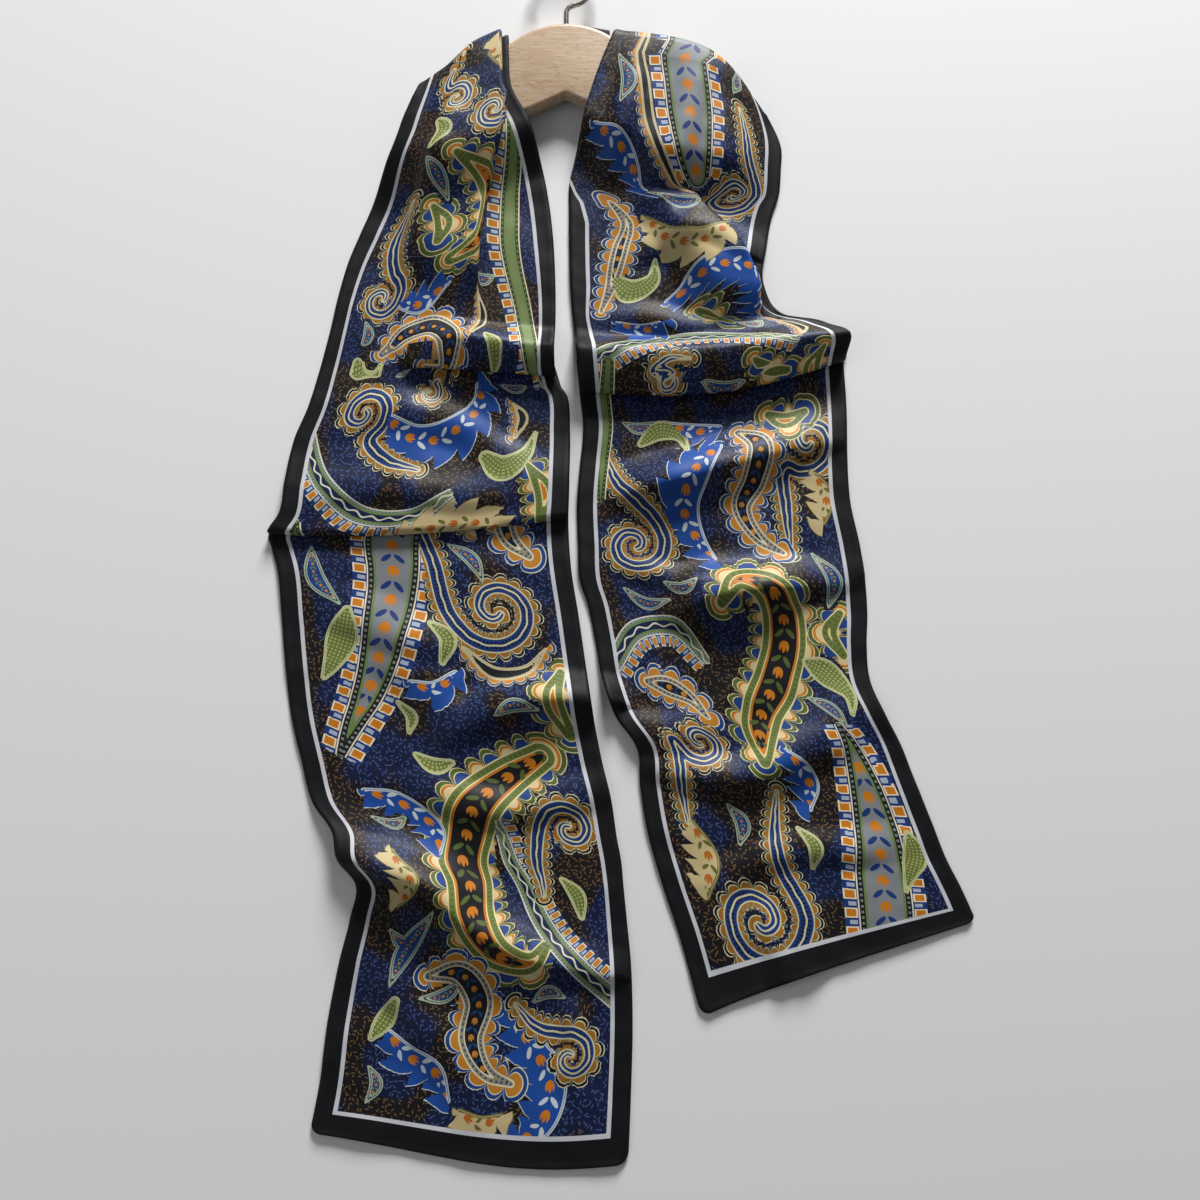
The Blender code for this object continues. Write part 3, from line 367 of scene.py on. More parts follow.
# Soft ridges: how far each reaches to either side of its crest, and places and heights along it
RIDGES = [
    Ridge("left shoulder swell", 22, 24, [(-70, -78, 0), (-76, -104, 3.4), (-84, -140, 3),
          (-88, -184, 0)]),
    Ridge("puff over the soft fold", 16, 20, [(-84, -196, 0), (-58, -199, 3.8), (-34, -202, 3.4),
          (-10, -204, 1.2)]),
    Ridge("below the soft fold", 18, 24, [(-98, -228, 0), (-88, -246, 3.2), (-92, -266, 2.4),
          (-100, -284, 0)]),
    Ridge("left knee", 26, 22, [(-100, -360, 0), (-84, -386, 3), (-66, -414, 3.2), (-44, -440, 0)]),
    Ridge("left side swell", 16, 18, [(-52, -412, 0), (-26, -410, 3.4), (2, -407, 3.8), (19, -406, 3)]),
    Ridge("left diagonal fold", 30, 13, [(-119, -486, 5), (-98, -497, 7.5), (-70, -508, 8.5),
          (-46, -528, 8), (-18, -542, 5), (20, -550, 2), (37, -552, 1)]),
    Ridge("right shoulder swell", 26, 24, [(58, -58, 0), (54, -84, 3), (46, -112, 3.5), (36, -140, 0)]),
    Ridge("right bulge", 34, 22, [(62, -112, 0), (76, -134, 3.5), (92, -160, 5), (104, -184, 2)]),
    Ridge("roll", 17, 21, [(4, -206, 5), (43, -210, 6), (86, -208, 6.5), (124, -199, 6.5), (152, -193, 6),
          (166, -191, 5.5)]),
    Ridge("below the roll", 24, 20, [(24, -296, 0), (56, -288, 3.2), (96, -272, 3), (140, -260, 0)]),
    Ridge("right hump", 30, 16, [(52, -362, 0), (76, -354, 5), (104, -348, 6), (140, -344, 0)]),
    Ridge("right side wave", 16, 14, [(20, -418, 1), (42, -424, 4), (68, -424, 3), (90, -416, 0)]),
    Ridge("right lower swell", 24, 24, [(84, -456, 0), (112, -440, 4), (146, -420, 3.4), (176, -404, 1)]),
    Ridge("hem wave", 18, 18, [(122, -486, 0), (126, -516, 2.2), (128, -548, 3), (129, -562, 3)]),
    Ridge("left shoulder crease", 13, 10, [(-62, -42, 0), (-70, -78, 3.2), (-83, -120, 4.2),
          (-91, -158, 3.6), (-94, -181, 1)]),
    Ridge("left pleat hollow ridge", 10, 9, [(-39, -71, 0), (-44, -104, 2), (-51, -136, 2.6),
          (-55, -173, 0)]),
    Ridge("left cross puff", 16, 9, [(-87, -205, 0), (-72, -198, 3.2), (-43, -201, 4.2),
          (-14, -204, 2.6)]),
    Ridge("below the puff", 14, 16, [(-132, -252, 0), (-104, -240, 2.6), (-70, -246, 3.4),
          (-36, -264, 2.4), (-13, -282, 0)]),
    Ridge("above the tuck", 18, 10, [(-148, -294, 0), (-103, -289, 2.4), (-58, -294, 2.6),
          (-13, -288, 0)]),
    Ridge("lower left slant", 20, 14, [(-145, -351, 0), (-111, -362, 2.4), (-78, -374, 2.6),
          (-45, -379, 0)]),
    Ridge("left bright ridge", 20, 11, [(-70, -432, 0), (-50, -421, 4), (-30, -411, 6.5), (-7, -407, 7.5),
          (20, -409, 5)]),
    Ridge("left bright ridge below", 17, 12, [(-87, -445, 0), (-60, -461, 3.4), (-33, -467, 4.4),
          (-1, -461, 4), (27, -455, 1)]),
    Ridge("left diagonal fold edge", 18, 8, [(-118, -490, 3), (-96, -498, 7), (-70, -508, 8.5),
          (-46, -530, 8), (-19, -543, 6), (20, -551, 3)]),
    Ridge("left end crease", 12, 9, [(0, -556, 0), (7, -574, 3.6), (6, -594, 3), (0, -613, 0)]),
    Ridge("left end swell", 18, 15, [(-105, -539, 0), (-84, -559, 3), (-62, -589, 3.6), (-46, -618, 1)]),
    Ridge("right shoulder crease", 10, 13, [(44, -11, 0), (39, -45, 3), (31, -78, 3.6), (23, -104, 0)]),
    Ridge("right shoulder crease beyond", 12, 14, [(80, -18, 0), (74, -51, 2.6), (68, -78, 2.6),
          (56, -104, 0)]),
    Ridge("right chest slant", 18, 11, [(20, -154, 0), (49, -142, 3), (79, -132, 4), (101, -143, 3)]),
    Ridge("right chest low", 14, 10, [(14, -192, 0), (43, -184, 2.8), (78, -192, 3.4), (112, -187, 2)]),
    Ridge("right first ridge", 24, 9.5, [(20, -294, 0), (43, -289, 6.5), (88, -277, 8.5),
          (133, -263, 6.5), (159, -256, 1)]),
    Ridge("right second ridge", 12, 9, [(26, -328, 0), (48, -337, 2.6), (70, -340, 3), (92, -328, 0)]),
    Ridge("right hump edge", 22, 8.5, [(53, -365, 0), (75, -353, 7), (103, -348, 9.5), (130, -344, 7),
          (158, -340, 1)]),
    Ridge("right low ridge", 18, 11, [(42, -439, 1), (68, -448, 5.5), (95, -451, 6), (128, -439, 4.5),
          (155, -428, 0)]),
    Ridge("right lower slant", 14, 12, [(73, -513, 0), (94, -498, 3), (126, -487, 3.4), (158, -487, 2.6),
          (196, -477, 0)]),
    Ridge("right hem crease", 9, 10, [(104, -513, 0), (110, -528, 2.4), (113, -544, 3),
          (114, -551, 2.6)]),
]


def ease(value):
    """Smooth step from 0 to 1."""
    value = np.clip(value, 0.0, 1.0)
    return value * value * (3.0 - 2.0 * value)


def curve_through(stations, values, at):
    """Smooth curve through values at uneven stations."""
    stations = np.asarray(stations, float)
    values = np.asarray(values, float)
    slopes = np.gradient(values, stations)
    at = np.clip(at, stations[0], stations[-1])
    index = np.clip(np.searchsorted(stations, at, side="right") - 1, 0, len(stations) - 2)
    span = stations[index + 1] - stations[index]
    t = (at - stations[index]) / span
    h00 = 2 * t**3 - 3 * t**2 + 1
    h10 = t**3 - 2 * t**2 + t
    return (h00 * values[index] + h10 * span * slopes[index]
            + (1 - h00) * values[index + 1] + (t**3 - t**2) * span * slopes[index + 1])


def run_along(line):
    """Distance from the start of a line to each of its points, seen from above."""
    steps = np.diff(np.asarray(line, float)[:, :2], axis=0)
    return np.concatenate([[0.0], np.cumsum(np.hypot(*steps.T))])


def ridge_height(x, y):
    """Height of all soft ridges together at places on the lay."""
    total = np.zeros_like(x)
    for ridge in RIDGES:
        crest = np.array(ridge.crest, float)
        run = run_along(crest)
        fine = np.linspace(0.0, run[-1], 40)
        line = [curve_through(run, crest[:, column], fine) for column in range(3)]
        away_x = x[..., None] - line[0]
        away_y = y[..., None] - line[1]
        nearest = np.argmin(np.hypot(away_x, away_y), axis=-1)
        dx = np.take_along_axis(away_x, nearest[..., None], -1)[..., 0]
        dy = np.take_along_axis(away_y, nearest[..., None], -1)[..., 0]
        slope_x = np.gradient(line[0], fine)[nearest]
        slope_y = np.gradient(line[1], fine)[nearest]
        ahead = np.clip(dx * slope_x + dy * slope_y, -fine[1], fine[1])
        side = slope_x * dy - slope_y * dx
        reach = np.where(side > 0, ridge.reach_left, ridge.reach_right)
        away = np.hypot(dx - ahead * slope_x, dy - ahead * slope_y)
        fall_off = np.clip(1.0 - (away / reach) ** 2, 0.0, 1.0) ** 2
        total += np.maximum(np.interp(fine[nearest] + ahead, fine, line[2]), 0.0) * fall_off
    return total


def arm_lift(x, y):
    """How far the hanger's arms hold the cloth up."""
    reach = abs(x)
    lower_edge = -NOTCH_HEIGHT - LIFT_PAST_EDGE - np.minimum(reach, ARM_REACH - 18.0) * NOTCH_SLOPE
    below = ease((lower_edge - y) / DOWN_FROM_ARM)
    outside = ease((reach - ARM_REACH) / PAST_ARM_END)
    return ARM_LIFT * (1.0 - below) * (1.0 - outside)


def fold_profile(share, depth, roundness):
    """Section through a fold that has grown by a share: how far each point lies past the point
    where the cloth starts to turn, and its height. The cloth turns down over the lip, runs back
    beneath it and turns forward again."""
    bend = math.pi * float(ease(share / FOLDED_OVER))
    back = (depth - roundness) * float(ease((share - 0.45) / 0.55))
    inner = LAYER_PITCH / 2
    angles = np.linspace(0.0, bend, TURN_STEPS + 1)
    rise = (roundness + inner) * (1 - math.cos(bend)) + back * math.sin(bend)
    over = roundness * np.sin(angles)
    over_height = rise - roundness * (1 - np.cos(angles))
    past = over[-1] + back * math.cos(bend) + inner * (math.sin(bend) - np.sin(angles[::-1]))
    past_height = inner * (1 - np.cos(angles[::-1]))
    count = 2 * len(angles)
    loose = 1.0 - float(ease(bend / math.radians(120)))
    slack = loose * OPEN_ROW * np.arange(0.5 - count / 2, count / 2)
    return np.concatenate([over, past]) + slack, np.concatenate([over_height, past_height])


def lip_profile(depth, roundness):
    """Section through the upper half of a full fold, which ends in the cloth beneath its lip."""
    angles = np.linspace(0.0, math.pi, TURN_STEPS + 1)
    past = np.append(roundness * np.sin(angles), [(roundness - depth) / 2, roundness - depth])
    height = np.append(LAYER_PITCH + roundness * (1 + np.cos(angles)), [LAYER_PITCH, LAYER_PITCH])
    return past, height


class Fall:
    """One end of the scarf: where its sides run, and the pleat along it."""

    def __init__(self, sections, pleat):
        self.names = [row.name for row in sections]
        self.columns = {name: [getattr(row, name) for row in sections] for name in Section._fields[1:]}
        places = np.array([row[1:5] for row in sections], float)
        self.stations = run_along((places[:, :2] + places[:, 2:]) / 2)
        self.pleat = [self.station(name) for name in pleat]

    def station(self, name):
        return self.stations[self.names.index(name)]

    def value(self, column, along):
        return curve_through(self.stations, self.columns[column], along)

    def line_across(self, along):
        """Left end of the line across the fall there, the way to its right end, and its length."""
        left = np.array([self.value("left_x", along), self.value("left_y", along)])
        right = np.array([self.value("right_x", along), self.value("right_y", along)])
        return left, right - left, np.hypot(*(right - left))

    def place(self, along, across):
        """Plan position at a distance along the fall and a share of the way across it."""
        left, side, width = self.line_across(along)
        to_hem = np.clip(self.stations[-1] - along, 0.0, CORNER_RADIUS)
        inset = CORNER_RADIUS - np.sqrt(CORNER_RADIUS**2 - (CORNER_RADIUS - to_hem) ** 2)
        across = 0.5 + (across - 0.5) * (1.0 - 2.0 * inset / width)
        leant = np.clip(across, 0.0, 1.0) ** self.value("lean", along)
        bow = self.value("bow", along) * np.sin(np.pi * leant)
        down = np.array([side[1], -side[0]]) / width
        overrun = np.minimum(along, 0.0)
        return left + side * across + down * (bow + overrun)

    def pleat_share(self, along):
        """How far the pleat is folded there, from 0 for open to 1."""
        starts, full, opens, ends = self.pleat
        grown = (along - starts) / (full - starts) if full > starts else 1.0
        return float(np.clip(min(grown, (ends - along) / (ends - opens)), 0.0, 1.0))

    def pleat_section(self, along):
        """Across share and height of each column of the pleated cloth at one section."""
        edge, tuck, roundness = (float(self.value(name, along)) for name in ("edge", "tuck", "round"))
        roundness = max(roundness, MIN_ROUND)
        tuck = max(tuck, roundness + 1.0)
        width = self.line_across(along)[2]
        past, height = fold_profile(self.pleat_share(along), tuck, roundness)
        start = min(edge - roundness, width - PLEAT_TO_SIDE - max(past[-1], 0.0))
        top = np.linspace(0.0, start + past[0], PLEAT_TOP_CELLS + 1)[:-1]
        raised = height[0] * (1.0 - ease((start - top - tuck - 2.0) / PLEAT_SLOPE))
        front = np.linspace(start + past[-1], width, PLEAT_FRONT_CELLS + 1)[1:]
        distance = np.concatenate([top, start + past, front])
        return distance / width, np.concatenate([raised, height, 0.0 * front])


def plain_rows(start, end):
    """Evenly spaced rows of cloth lying in one layer: along, and share of the ridges' height."""
    count = max(1, round((end - start) / ROW_STEP))
    return [dict(along=along, swell=1.0) for along in np.linspace(start, end, count + 1)]


def fold_rows(fold, closed):
    """Rows of one crosswise fold, from its lip to the end of the cloth beneath it."""
    count = 2 * (TURN_STEPS + 1) if closed else TURN_STEPS + 3
    return [dict(fold=fold, closed=closed, order=order, swell=1.0 if order == 0 else 0.0)
            for order in range(count)]


def soft_wrinkles(x, y):
    """Low uneven swells of slack satin, a few tens of millimetres apart."""
    swell = np.empty(x.shape)
    for index, (px, py) in enumerate(zip(x.ravel(), y.ravel())):
        broad = noise.noise(Vector((px / 46.0, py / 30.0, 3.7)))
        fine = noise.noise(Vector((px / 17.0 + py / 60.0, py / 12.0, 9.1)))
        swell.flat[index] = 1.1 * broad + 0.5 * fine
    return swell + 0.9


def pleat_widths(fall, along, across, left_edge):
    """Where each column lies across the flat strip, in millimetres from its left side."""
    width = fall.line_across(along)[2]
    turn = 2 * (TURN_STEPS + 1)
    top = PLEAT_TOP_CELLS
    folded = np.empty_like(across)
    folded[:top + 1] = left_edge + across[:top + 1] * width
    folded[top + turn - 1:] = CLOTH_WIDTH - (1.0 - across[top + turn - 1:]) * width
    folded[top:top + turn] = np.linspace(folded[top], folded[top + turn - 1], turn)
    open_width = left_edge + across * (CLOTH_WIDTH - left_edge)
    return open_width + (folded - open_width) * float(ease(fall.pleat_share(along) / FOLDED_OVER))


def cloth_grid(fall, rows, folds, left_edge=None):
    """Middle surface of one stretch row by row, and where each point lies on the flat strip. The
    stretch that has the folds is the upper one, which is pleated and comes round the shoulder."""
    grid = shoulder_rows(fall) if folds else []
    widths = []
    for row in rows:
        fold = row.get("fold")
        at = fall.station(fold.lip) if fold else row["along"]
        edge = 0.0 if left_edge is None else float(np.interp(at, *left_edge))
        if folds:
            across, pleat_height = fall.pleat_section(float(np.clip(at, 0.0, None)))
            widths.append(pleat_widths(fall, at, across, edge))
        else:
            across = np.linspace(0.0, 1.0, CLOTH_COLUMNS + 1)
            pleat_height = np.zeros_like(across)
            widths.append(across * CLOTH_WIDTH)
        along = np.full_like(across, at)
        stacked = np.full_like(across, row.get("raised", 0.0))
        swell = np.full_like(across, row["swell"])
        for near in folds:
            lip = fall.station(near.lip)
            if fold is not near and not (row.get("along", lip) < lip):
                continue
            for column, place in enumerate(across):
                share = (place - near.grows_from) / (near.grows_to - near.grows_from)
                past, height = fold_profile(share, near.depth, near.round)
                if fold is near:
                    if not row["closed"]:
                        past, height = lip_profile(near.depth, near.round)
                    along[column] = lip - near.round + past[row["order"]]
                    stacked[column] = height[row["order"]]
                    swell[column] += (1.0 - swell[column]) * (1.0 - float(ease(share / FOLDED_OVER)))
                else:
                    behind = lip - row["along"] - near.depth
                    climbed = height[0] * (1.0 - float(ease(behind / near.climb)))
                    stacked[column] = max(stacked[column], climbed)
        x, y = fall.place(along, across)
        swell *= ridge_height(x, y) + soft_wrinkles(x, y)
        z = FLAT + arm_lift(x, y) + swell + stacked + pleat_height
        grid.append(np.stack([x, y, z], axis=-1))
    widths = [widths[0]] * (len(grid) - len(widths)) + widths
    return np.array(grid), np.array(widths)


def shoulder_base(fall, across, stack):
    """The fold line at the shoulder, the way down from it and the radius of the cloth round it."""
    x, y = fall.place(np.zeros_like(across), across)
    inside = fall.place(np.full_like(across, 8.0), across)
    down = inside - np.array([x, y])
    top = FLAT + arm_lift(*inside) + ridge_height(*inside)
    return np.array([x, y]), down / np.hypot(*down), np.maximum((top - FLAT - stack) / 2, LAYER_PITCH)


def shoulder_rows(fall):
    """Rows that bring the cloth from beneath the arm round to its top."""
    across, layer = fall.pleat_section(0.0)
    stack = float(np.max(layer))
    line, down, core = shoulder_base(fall, across, stack)
    rows = []
    for angle in np.radians(np.linspace(-90, 82, 30)):
        radius = core + layer
        x, y = line + down * (core + stack - radius * math.cos(angle))
        height = FLAT + stack + core + radius * math.sin(angle)
        rows.append(np.stack([x, y, height], axis=-1))
    return rows


def emerging_rows(fall, fold):
    """Rows of the cloth that comes out from beneath a fold, and the close rows of its hem."""
    lip = fall.station(fold.lip)
    end = fall.stations[-1]
    rows = plain_rows(lip - fold.depth, end - CORNER_RADIUS)
    for row in rows:
        row["swell"] = float(ease((row["along"] - lip - 2.0) / SETTLE_LENGTH))
        behind = (row["along"] - lip + fold.depth) / HIDDEN_RISE
        row["raised"] = (LAYER_PITCH - CAD_WALL - HIDDEN_GAP) * (1.0 - float(ease(behind)))
    for angle in np.radians([14, 26, 38, 50, 60, 70, 80, 90]):
        rows.append(dict(along=end - CORNER_RADIUS * (1 - math.sin(angle)), swell=1.0))
    return rows


def strip_length(grid, start):
    """Distance of each row along the strip, counted from a given start."""
    steps = np.linalg.norm(np.diff(grid, axis=0), axis=-1).mean(axis=1)
    return start + np.concatenate([[0.0], np.cumsum(steps)])


def make_piece(name, points, faces):
    """Object whose mesh is made in code, its faces turned outwards and shaded smooth."""
    mesh = bpy.data.meshes.new(name)
    mesh.from_pydata(points, [], faces)
    shape = bmesh.new()
    shape.from_mesh(mesh)
    bmesh.ops.triangulate(shape, faces=[face for face in shape.faces if len(face.verts) > 4])
    bmesh.ops.recalc_face_normals(shape, faces=shape.faces)
    shape.to_mesh(mesh)
    shape.free()
    mesh.shade_smooth()
    piece = bpy.data.objects.new(name, mesh)
    bpy.context.collection.objects.link(piece)
    return piece


def store(piece, name, kind, domain, values):
    """Store values on the piece's mesh for its material to read."""
    field = {"FLOAT": "value", "FLOAT_COLOR": "color"}.get(kind, "vector")
    stored = piece.data.attributes.new(name, kind, domain)
    stored.data.foreach_set(field, np.ravel(values).astype(float))


def shell(name, grid, widths, lengths, hem):
    """Closed thin shell round the middle surface, its sides and hem rolled softly thicker."""
    rows, columns = grid.shape[:2]
    along = np.gradient(grid, axis=0)
    across = np.gradient(grid, axis=1)
    normal = np.cross(across, along)
    normal *= -1.0 / np.maximum(np.linalg.norm(normal, axis=-1, keepdims=True), 1e-9)
    if np.mean(normal[rows // 2, :, 2]) < 0:
        normal = -normal
    side = np.linalg.norm(np.diff(grid, axis=1), axis=-1)
    from_left = np.concatenate([np.zeros((rows, 1)), np.cumsum(side, axis=1)], axis=1)
    edge = np.minimum(from_left, from_left[:, -1:] - from_left)
    if hem:
        edge = np.minimum(edge, (lengths[-1] - lengths)[:, None])
    puff = np.exp(-((edge - EDGE_ROLL_AT) / EDGE_ROLL_WIDTH) ** 2) * (EDGE_THICK - THICK)
    half = (THICK + puff) / 2 * np.sqrt(1.0 - (1.0 - np.clip(edge / THICK, 0.0, 1.0)) ** 2)
    half = np.maximum(half, 0.06)
    middle = grid.copy()
    middle[..., 2] = np.maximum(middle[..., 2], half + 0.02)
    upper = middle + normal * half[..., None]
    lower = middle - normal * half[..., None]
    lower[..., 2] = np.maximum(lower[..., 2], 0.01)
    points = np.concatenate([upper.reshape(-1, 3), lower.reshape(-1, 3)])
    points = (points + np.array([LAY_X, LAY_Y, 0.0])) * MM
    index = np.arange(rows * columns).reshape(rows, columns)
    quads = np.stack([index[:-1, :-1], index[1:, :-1], index[1:, 1:], index[:-1, 1:]], axis=-1)
    quads = quads.reshape(-1, 4)
    back = quads[:, ::-1] + rows * columns
    ring = np.concatenate([index[0, :-1], index[:-1, -1], index[-1, :0:-1], index[:0:-1, 0]])
    after = np.roll(ring, -1)
    rim = np.stack([ring, after, after + rows * columns, ring + rows * columns], axis=-1)
    faces = np.concatenate([quads, back, rim])
    piece = make_piece(name, points.tolist(), faces.tolist())
    strip = np.stack([widths, np.broadcast_to(lengths[:, None], widths.shape), edge], axis=-1)
    strip = np.concatenate([strip.reshape(-1, 3)] * 2)
    store(piece, "strip_mm", "FLOAT_VECTOR", "POINT", strip)
    return piece, strip


# The print: each motif is a stroke along a line of places on the flat strip, given as millimetres
# across it, along it, and half the stroke's width there. A look has the paints of a stroke's core,
# of the band round that and the fine lines between them, of the teeth of its fringe and of the
# marks in them; the width of the band and fringe and the pitch of the teeth; what is drawn inside
# (0 nothing, 1 tulips, 2 a waving line, 3 seeds); half the size of a tulip; the length of the dashes
# in the band; and what the teeth hold (0 nothing, 1 a smaller tooth, 2 a petal). Lean makes the
# teeth flames, pegs makes them square with a peg in each, and side leaves one side bare.
PAINTS = ("core", "band", "line", "tooth", "mark")
Look = namedtuple("Look", (*PAINTS, "band_width", "fringe", "pitch", "inner", "bloom", "dash", "nest",
                           "lean", "pegs", "side"), defaults=(0, 1, 2, 0, 0, 0, 0))
NUMBERS = {"sizes": ("band_width", "fringe", "pitch"), "kinds": ("lean", "pegs", "inner"),
           "extras": ("side", "dash", "bloom"), "nest": ("nest", "nest", "nest")}
FINE_LINE = 0.75
TOOTH_LINE = 0.55
FAR = 50.0
SEED_PITCH = 2.1
SPRIG_PITCH = 2.5

TAPER = Look("#868a8c", "#17191b", "#efe4c2", "#1b3878", "#d07c18", 3, 8.2, 11, 1, 3.9, 3.4, pegs=1)
STRIPE = Look("#7b8a58", "#2c3f22", "#ecdfb6", "#1c3a6c", "#c97c1c", 1.8, 8, 9.5, 0, 1.5, 3.4, pegs=1, side=1)
PICKLE = Look("#141418", "#6c7a3a", "#e6d69c", "#566430", "#c87818", 3.4, 8, 9.5, 1, 3.6, 3, nest=2)
BLUE_PICKLE = Look("#16171e", "#9a8f70", "#e2dcbe", "#1d4484", "#c4822a", 2, 7, 8.5, 1, 1.9, 2.6, nest=1)
CURL = Look("#132248", "#1b3a7a", "#d6d0a6", "#16161c", "#a06c26", 4.4, 5.2, 5.8, 2, 1.2, 2.2, nest=1)
FLAME = Look("#1c4c9c", "#1c4c9c", "#ccd6d8", "#1c4c9c", "#d07c18", 0.3, 8.5, 11, 1, 3.1, 2.4,
             lean=1, side=1)
CREAM_FLAME = Look("#cdb988", "#cdb988", "#6c6a34", "#cdb988", "#b8681c", 0.3, 8, 10, 1, 2.7, 2.2,
                   lean=1, side=1)
SEEDED = Look("#6e7a38", "#6e7a38", "#c9cc98", "#aab070", "#3d4c20", 0.2, 0, 2, 3)
GARLAND = Look("#132248", "#8f9a9c", "#dcd8c0", "#1c3a6c", "#c97c1c", 1, 7, 6.4, 2, 1.5, 2.2, pegs=1, side=1)
LEAF = Look("#1c4280", "#142048", "#a9b6a0", "#7c8a4c", "#c97c1c", 0.4, 0, 4, 1)
TENDRIL = Look("#1b1c22", "#cdbf94", "#cdbf94", "#204280", "#c4822a", 0.3, 4.6, 6, 0, 1.2, nest=1, side=1)


def spiral(across, along, radius, turns, start, turn_way, thick, lead=()):
    """Line of a stroke that curls inwards round a place, after the points that lead up to it."""
    points = list(lead)
    count = max(8, int(turns * 16))
    for step in range(count + 1):
        share = step / count
        angle = math.radians(start) + turn_way * share * turns * 2 * math.pi
        reach = radius * (1.0 - 0.86 * share ** 0.9)
        points.append((across + reach * math.cos(angle), along + reach * math.sin(angle),
                       thick * (1.0 - 0.45 * share)))
    return points


def stroke_line(points):
    """Close points along a stroke, with its half width and the distance along it."""
    points = np.array(points, float)
    run = run_along(points)
    fine = np.linspace(0.0, run[-1], max(24, int(run[-1] / 1.5)))
    line = np.stack([curve_through(run, points[:, column], fine) for column in range(3)], axis=-1)
    return line, run_along(line)


def print_motifs(piece, strip, layer, motifs):
    """Store on each face the look of the motif printed there, and on its corners their places in
    it: beyond its edge, along it, and off its middle line, in millimetres."""
    loops = np.empty(len(piece.data.loops), int)
    piece.data.loops.foreach_get("vertex_index", loops)
    corners = loops.reshape(-1, 4)
    nearest = np.full(len(corners), FAR)
    place = np.zeros((len(corners), 4, 3))
    place[..., 0] = FAR
    look_of = np.full(len(corners), -1)
    strokes = [(number, look, stroke) for number, look in enumerate(motifs) for stroke in motifs[look]]
    for number, look, stroke in strokes:
        line, away = stroke_line(stroke)
        margin = line[:, 2].max() + look.fringe + 3.0
        low = line[:, :2].min(axis=0) - margin
        high = line[:, :2].max(axis=0) + margin
        inside = np.where(np.all((strip[:, :2] > low) & (strip[:, :2] < high), axis=1))[0]
        if not len(inside):
            continue
        dx = strip[inside, None, 0] - line[None, :, 0]
        dy = strip[inside, None, 1] - line[None, :, 1]
        gap = np.hypot(dx, dy) - line[None, :, 2]
        best = np.argmin(gap, axis=1)
        rank = np.arange(len(inside))
        heading = np.gradient(line[:, :2], axis=0)
        heading /= np.linalg.norm(heading, axis=1, keepdims=True)
        ahead = dx[rank, best] * heading[best, 0] + dy[rank, best] * heading[best, 1]
        beyond = np.full(len(strip), FAR)
        run = np.zeros(len(strip))
        off = np.zeros(len(strip))
        beyond[inside] = gap[rank, best]
        if look.pegs:
            # A pegged motif has a blunt end without fringe
            tip = (best == 0) | (best == len(line) - 1)
            beyond[inside[tip & (np.abs(ahead) > 1.6) & (gap[rank, best] > 0.0)]] = FAR
        run[inside] = away[best] + np.clip(ahead, -1.5, 1.5)
        off[inside] = heading[best, 0] * dy[rank, best] - heading[best, 1] * dx[rank, best]
        # A face that spans two turns of a stroke is left to the stroke's inside
        face_gap = beyond[corners].min(axis=1)
        face_run = run[corners]
        torn = (face_run.max(axis=1) - face_run.min(axis=1)) > 7.0
        mine = (face_gap < look.fringe + 1.0) & (face_gap < nearest) & ~(torn & (face_gap > 0.2))
        nearest[mine] = face_gap[mine]
        look_of[mine] = number
        place[mine] = np.stack([beyond[corners[mine]], run[corners[mine]], off[corners[mine]]], axis=-1)
    store(piece, layer + "_place", "FLOAT_VECTOR", "CORNER", place)
    looks = [*motifs, LEAF]
    for part in PAINTS:
        paints = np.array([colour(getattr(look, part)) for look in looks])
        store(piece, f"{layer}_{part}", "FLOAT_COLOR", "FACE", paints[look_of])
    for name, parts in NUMBERS.items():
        values = np.array([[getattr(look, part) for part in parts] for look in looks], float)
        store(piece, f"{layer}_{name}", "FLOAT_VECTOR", "FACE", values[look_of])


